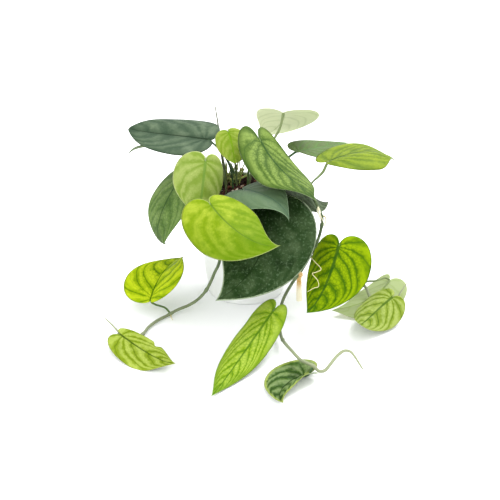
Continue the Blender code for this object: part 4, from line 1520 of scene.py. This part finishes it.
def soil_height(x, y, seeds):
    """Height of the mix at a point: a low mound, heaped at the back, with a lump round each seed."""
    gaps = np.hypot(seeds[:, 0] - x, seeds[:, 1] - y)
    near = int(gaps.argmin())
    mound = MOUND * (1 - (math.hypot(x, y) / POT_RIM_RADIUS) ** 2)
    heap = HEAP * math.exp(-(((x - HEAP_PLACE) / HEAP_WIDTH) ** 2))
    heap *= np.clip((y - HEAP_FRONT) / HEAP_RISE, 0, 1)
    return SOIL_TOP + mound + heap + seeds[near, 2] - LUMP_SLOPE * gaps[near]


draw = np.random.default_rng(5)
turns = draw.uniform(0, 2 * math.pi, LUMPS)
spots = LUMP_SPREAD * np.sqrt(draw.random(LUMPS))
rises = draw.uniform(-LUMP_HEIGHT, LUMP_HEIGHT, LUMPS) * MM
seeds = np.column_stack([spots * np.cos(turns), spots * np.sin(turns), rises])
soil_reach = pot_outer_radius(SOIL_TOP) - POT_WALL - GAP
profile = [(0, POT_FLOOR + GAP), (pot_outer_radius(POT_FLOOR) - POT_WALL - GAP, POT_FLOOR + GAP)]
profile += [(soil_reach * k / SOIL_RINGS, SOIL_TOP) for k in range(SOIL_RINGS, 0, -1)]
soil_mesh = lathe("bark_mix", [*profile, (0, SOIL_TOP)], SOIL_SIDES)
for vertex in soil_mesh.vertices:
    if vertex.co.z > 50 * MM and math.hypot(vertex.co.x, vertex.co.y) < soil_reach - 0.5 * MM:
        vertex.co.z = soil_height(vertex.co.x, vertex.co.y, seeds)
soil = add_piece("bark_mix", soil_mesh)
print("The mix stands", round((POT_HEIGHT - SOIL_TOP) / MM), "mm below the rim")

# %% [markdown]
# ## Bark chips
#
# Loose chips of bark lie all over the mix. Hundreds of them could be dropped by a rigid body
# simulation, which is slow, or painted, which looks flat. Geometry Nodes scatter one rough lump
# instead: its copies lie at least a few millimetres apart, each with its own turn, size and tone. A
# fixed seed keeps them in place from run to run.

# %% The tree that scatters chips
CHIP_DENSITY = 80000
FULL_TURN = 6.283


def chip_recipe():
    """Scatter rough chips over a surface."""
    recipe = Recipe("chips", Spacing="NodeSocketFloat", Length="NodeSocketFloat", Seed="NodeSocketInt",
                    Material="NodeSocketMaterial")
    seed = recipe.size["Seed"]
    points = recipe.add("GeometryNodeDistributePointsOnFaces", {"distribute_method": "POISSON"},
                        out="Points", Mesh=recipe.source, Distance_Min=recipe.size["Spacing"],
                        Density_Max=CHIP_DENSITY, Seed=seed)
    lump = recipe.add("GeometryNodeMeshIcoSphere", out="Mesh", Radius=0.5, Subdivisions=2)
    dent = recipe.add("ShaderNodeTexNoise", out="Color", Scale=1.7, Detail=1.0)
    shift = recipe.add("ShaderNodeVectorMath", {"operation": "SUBTRACT"}, Vector=dent,
                       Vector_001=(0.5, 0.5, 0.5))
    lump = recipe.add("GeometryNodeSetPosition", Geometry=lump, Offset=shift)
    turn = recipe.add("FunctionNodeRandomValue", {"data_type": "FLOAT_VECTOR"}, out="Value",
                      Min=(-0.5, -0.5, 0.0), Max=(0.5, 0.5, FULL_TURN), Seed=seed)
    shape = recipe.add("FunctionNodeRandomValue", {"data_type": "FLOAT_VECTOR"}, out="Value",
                       Min=(0.5, 0.3, 0.15), Max=(1.25, 0.7, 0.4), Seed=seed + 1)
    size = recipe.add("ShaderNodeVectorMath", {"operation": "SCALE"}, Vector=shape,
                      Scale=recipe.size["Length"])
    chips = recipe.add("GeometryNodeInstanceOnPoints", Points=points, Instance=lump, Rotation=turn,
                       Scale=size)
    tone = recipe.add("FunctionNodeRandomValue", {"data_type": "FLOAT"}, out="Value_001", Seed=seed + 2)
    chips = recipe.add("GeometryNodeStoreNamedAttribute", {"data_type": "FLOAT", "domain": "INSTANCE"},
                       Geometry=chips, Name="tone", Value=tone)
    recipe.close(chips)
    return recipe


chip_tree = chip_recipe()
print("The chips' tree has", len(chip_tree.tree.nodes), "nodes")

# %% Scatter the chips and give the mix its finish
PATCH_FLOOR = 95 * MM
PATCH_REACH = 55 * MM


def bark_material():
    """Peat and bark: near black, purple and red browns, with a few pale chips."""
    paint = Paint("bark_mix")
    tone = paint.attribute("tone")
    grain = paint.noise(500, detail=5)
    cloud = paint.noise(90)
    colour = paint.mix(own("2c1e1d"), own("543832"), paint.step(cloud + grain * 0.4, 0.5, 0.9))
    colour = paint.mix(colour, own("934f3c"), paint.step(tone, 0.35, 0.75) * 0.85)
    colour = paint.mix(colour, own("c49a80"), paint.step(tone, 0.78, 0.93) * grain)
    colour = paint.mix(colour, own("f4e6d2"), paint.step(tone, 0.94, 0.97))
    return paint.finish(colour, 0.85, grain, depth=0.0006, Specular_IOR_Level=0.08)


bark = bark_material()
soil_mesh.materials.append(bark)
settle(soil, "bark_mix", "soil")
patch = bpy.data.meshes.new("patch")
patch.from_pydata([tuple(v.co) for v in soil_mesh.vertices], [],
                  [tuple(p.vertices) for p in soil_mesh.polygons
                   if p.center.z > PATCH_FLOOR and math.hypot(p.center.x, p.center.y) < PATCH_REACH])
chips = chip_tree.run("bark_chips", patch, Spacing=4.0 * MM, Length=8.0 * MM, Seed=3, Material=bark)
settle(chips, "bark_mix")
print("Bark chips have", len(chips.data.polygons), "faces")

# %% [markdown]
# ## Studio
#
# The photograph has a white table that runs into a white wall, with light from all round and only
# a faint shadow. An image of a real studio could light the scene, but a part should need no files.
# Here a large pale floor, a bright world and two big soft lights give the same.

# %% Floor and world
TABLE_HALF = 6
WORLD_STRENGTH = 1.42


def floor_material():
    """A matt white tabletop."""
    paint = Paint("white_table")
    return paint.finish(hue("f6f7f8"), 0.75 + paint.noise(3) * 0.05, Specular_IOR_Level=0.2)


floor_mesh = bpy.data.meshes.new("table_top")
corners = [(x * TABLE_HALF, y * TABLE_HALF, 0) for x, y in ((-1, -1), (1, -1), (1, 1), (-1, 1))]
floor_mesh.from_pydata(corners, [], [(0, 1, 2, 3)])
floor_mesh.materials.append(floor_material())
table = add_piece("table_top", floor_mesh)

world = bpy.data.worlds.new("studio")
world.use_nodes = True
world.node_tree.nodes["Background"].inputs["Color"].default_value = (1.0, 1.0, 1.0, 1.0)
world.node_tree.nodes["Background"].inputs["Strength"].default_value = WORLD_STRENGTH
scene.world = world
print("Table and world ready")

# %% Soft lights
LIGHT_AIM = (0, 0, 0.1)


def soft_light(name, place, aim, size, power):
    """A square area light that points at a place."""
    lamp = bpy.data.objects.new(name, bpy.data.lights.new(name, "AREA"))
    lamp.data.size = size
    lamp.data.energy = power
    lamp.location = place
    lamp.rotation_euler = (Vector(aim) - Vector(place)).to_track_quat("-Z", "Y").to_euler()
    scene.collection.objects.link(lamp)
    return lamp


soft_light("window", (0.7, 0.6, 1.6), LIGHT_AIM, size=1.1, power=34)
soft_light("fill", (-0.6, -1.6, 1.0), LIGHT_AIM, size=1.4, power=16)
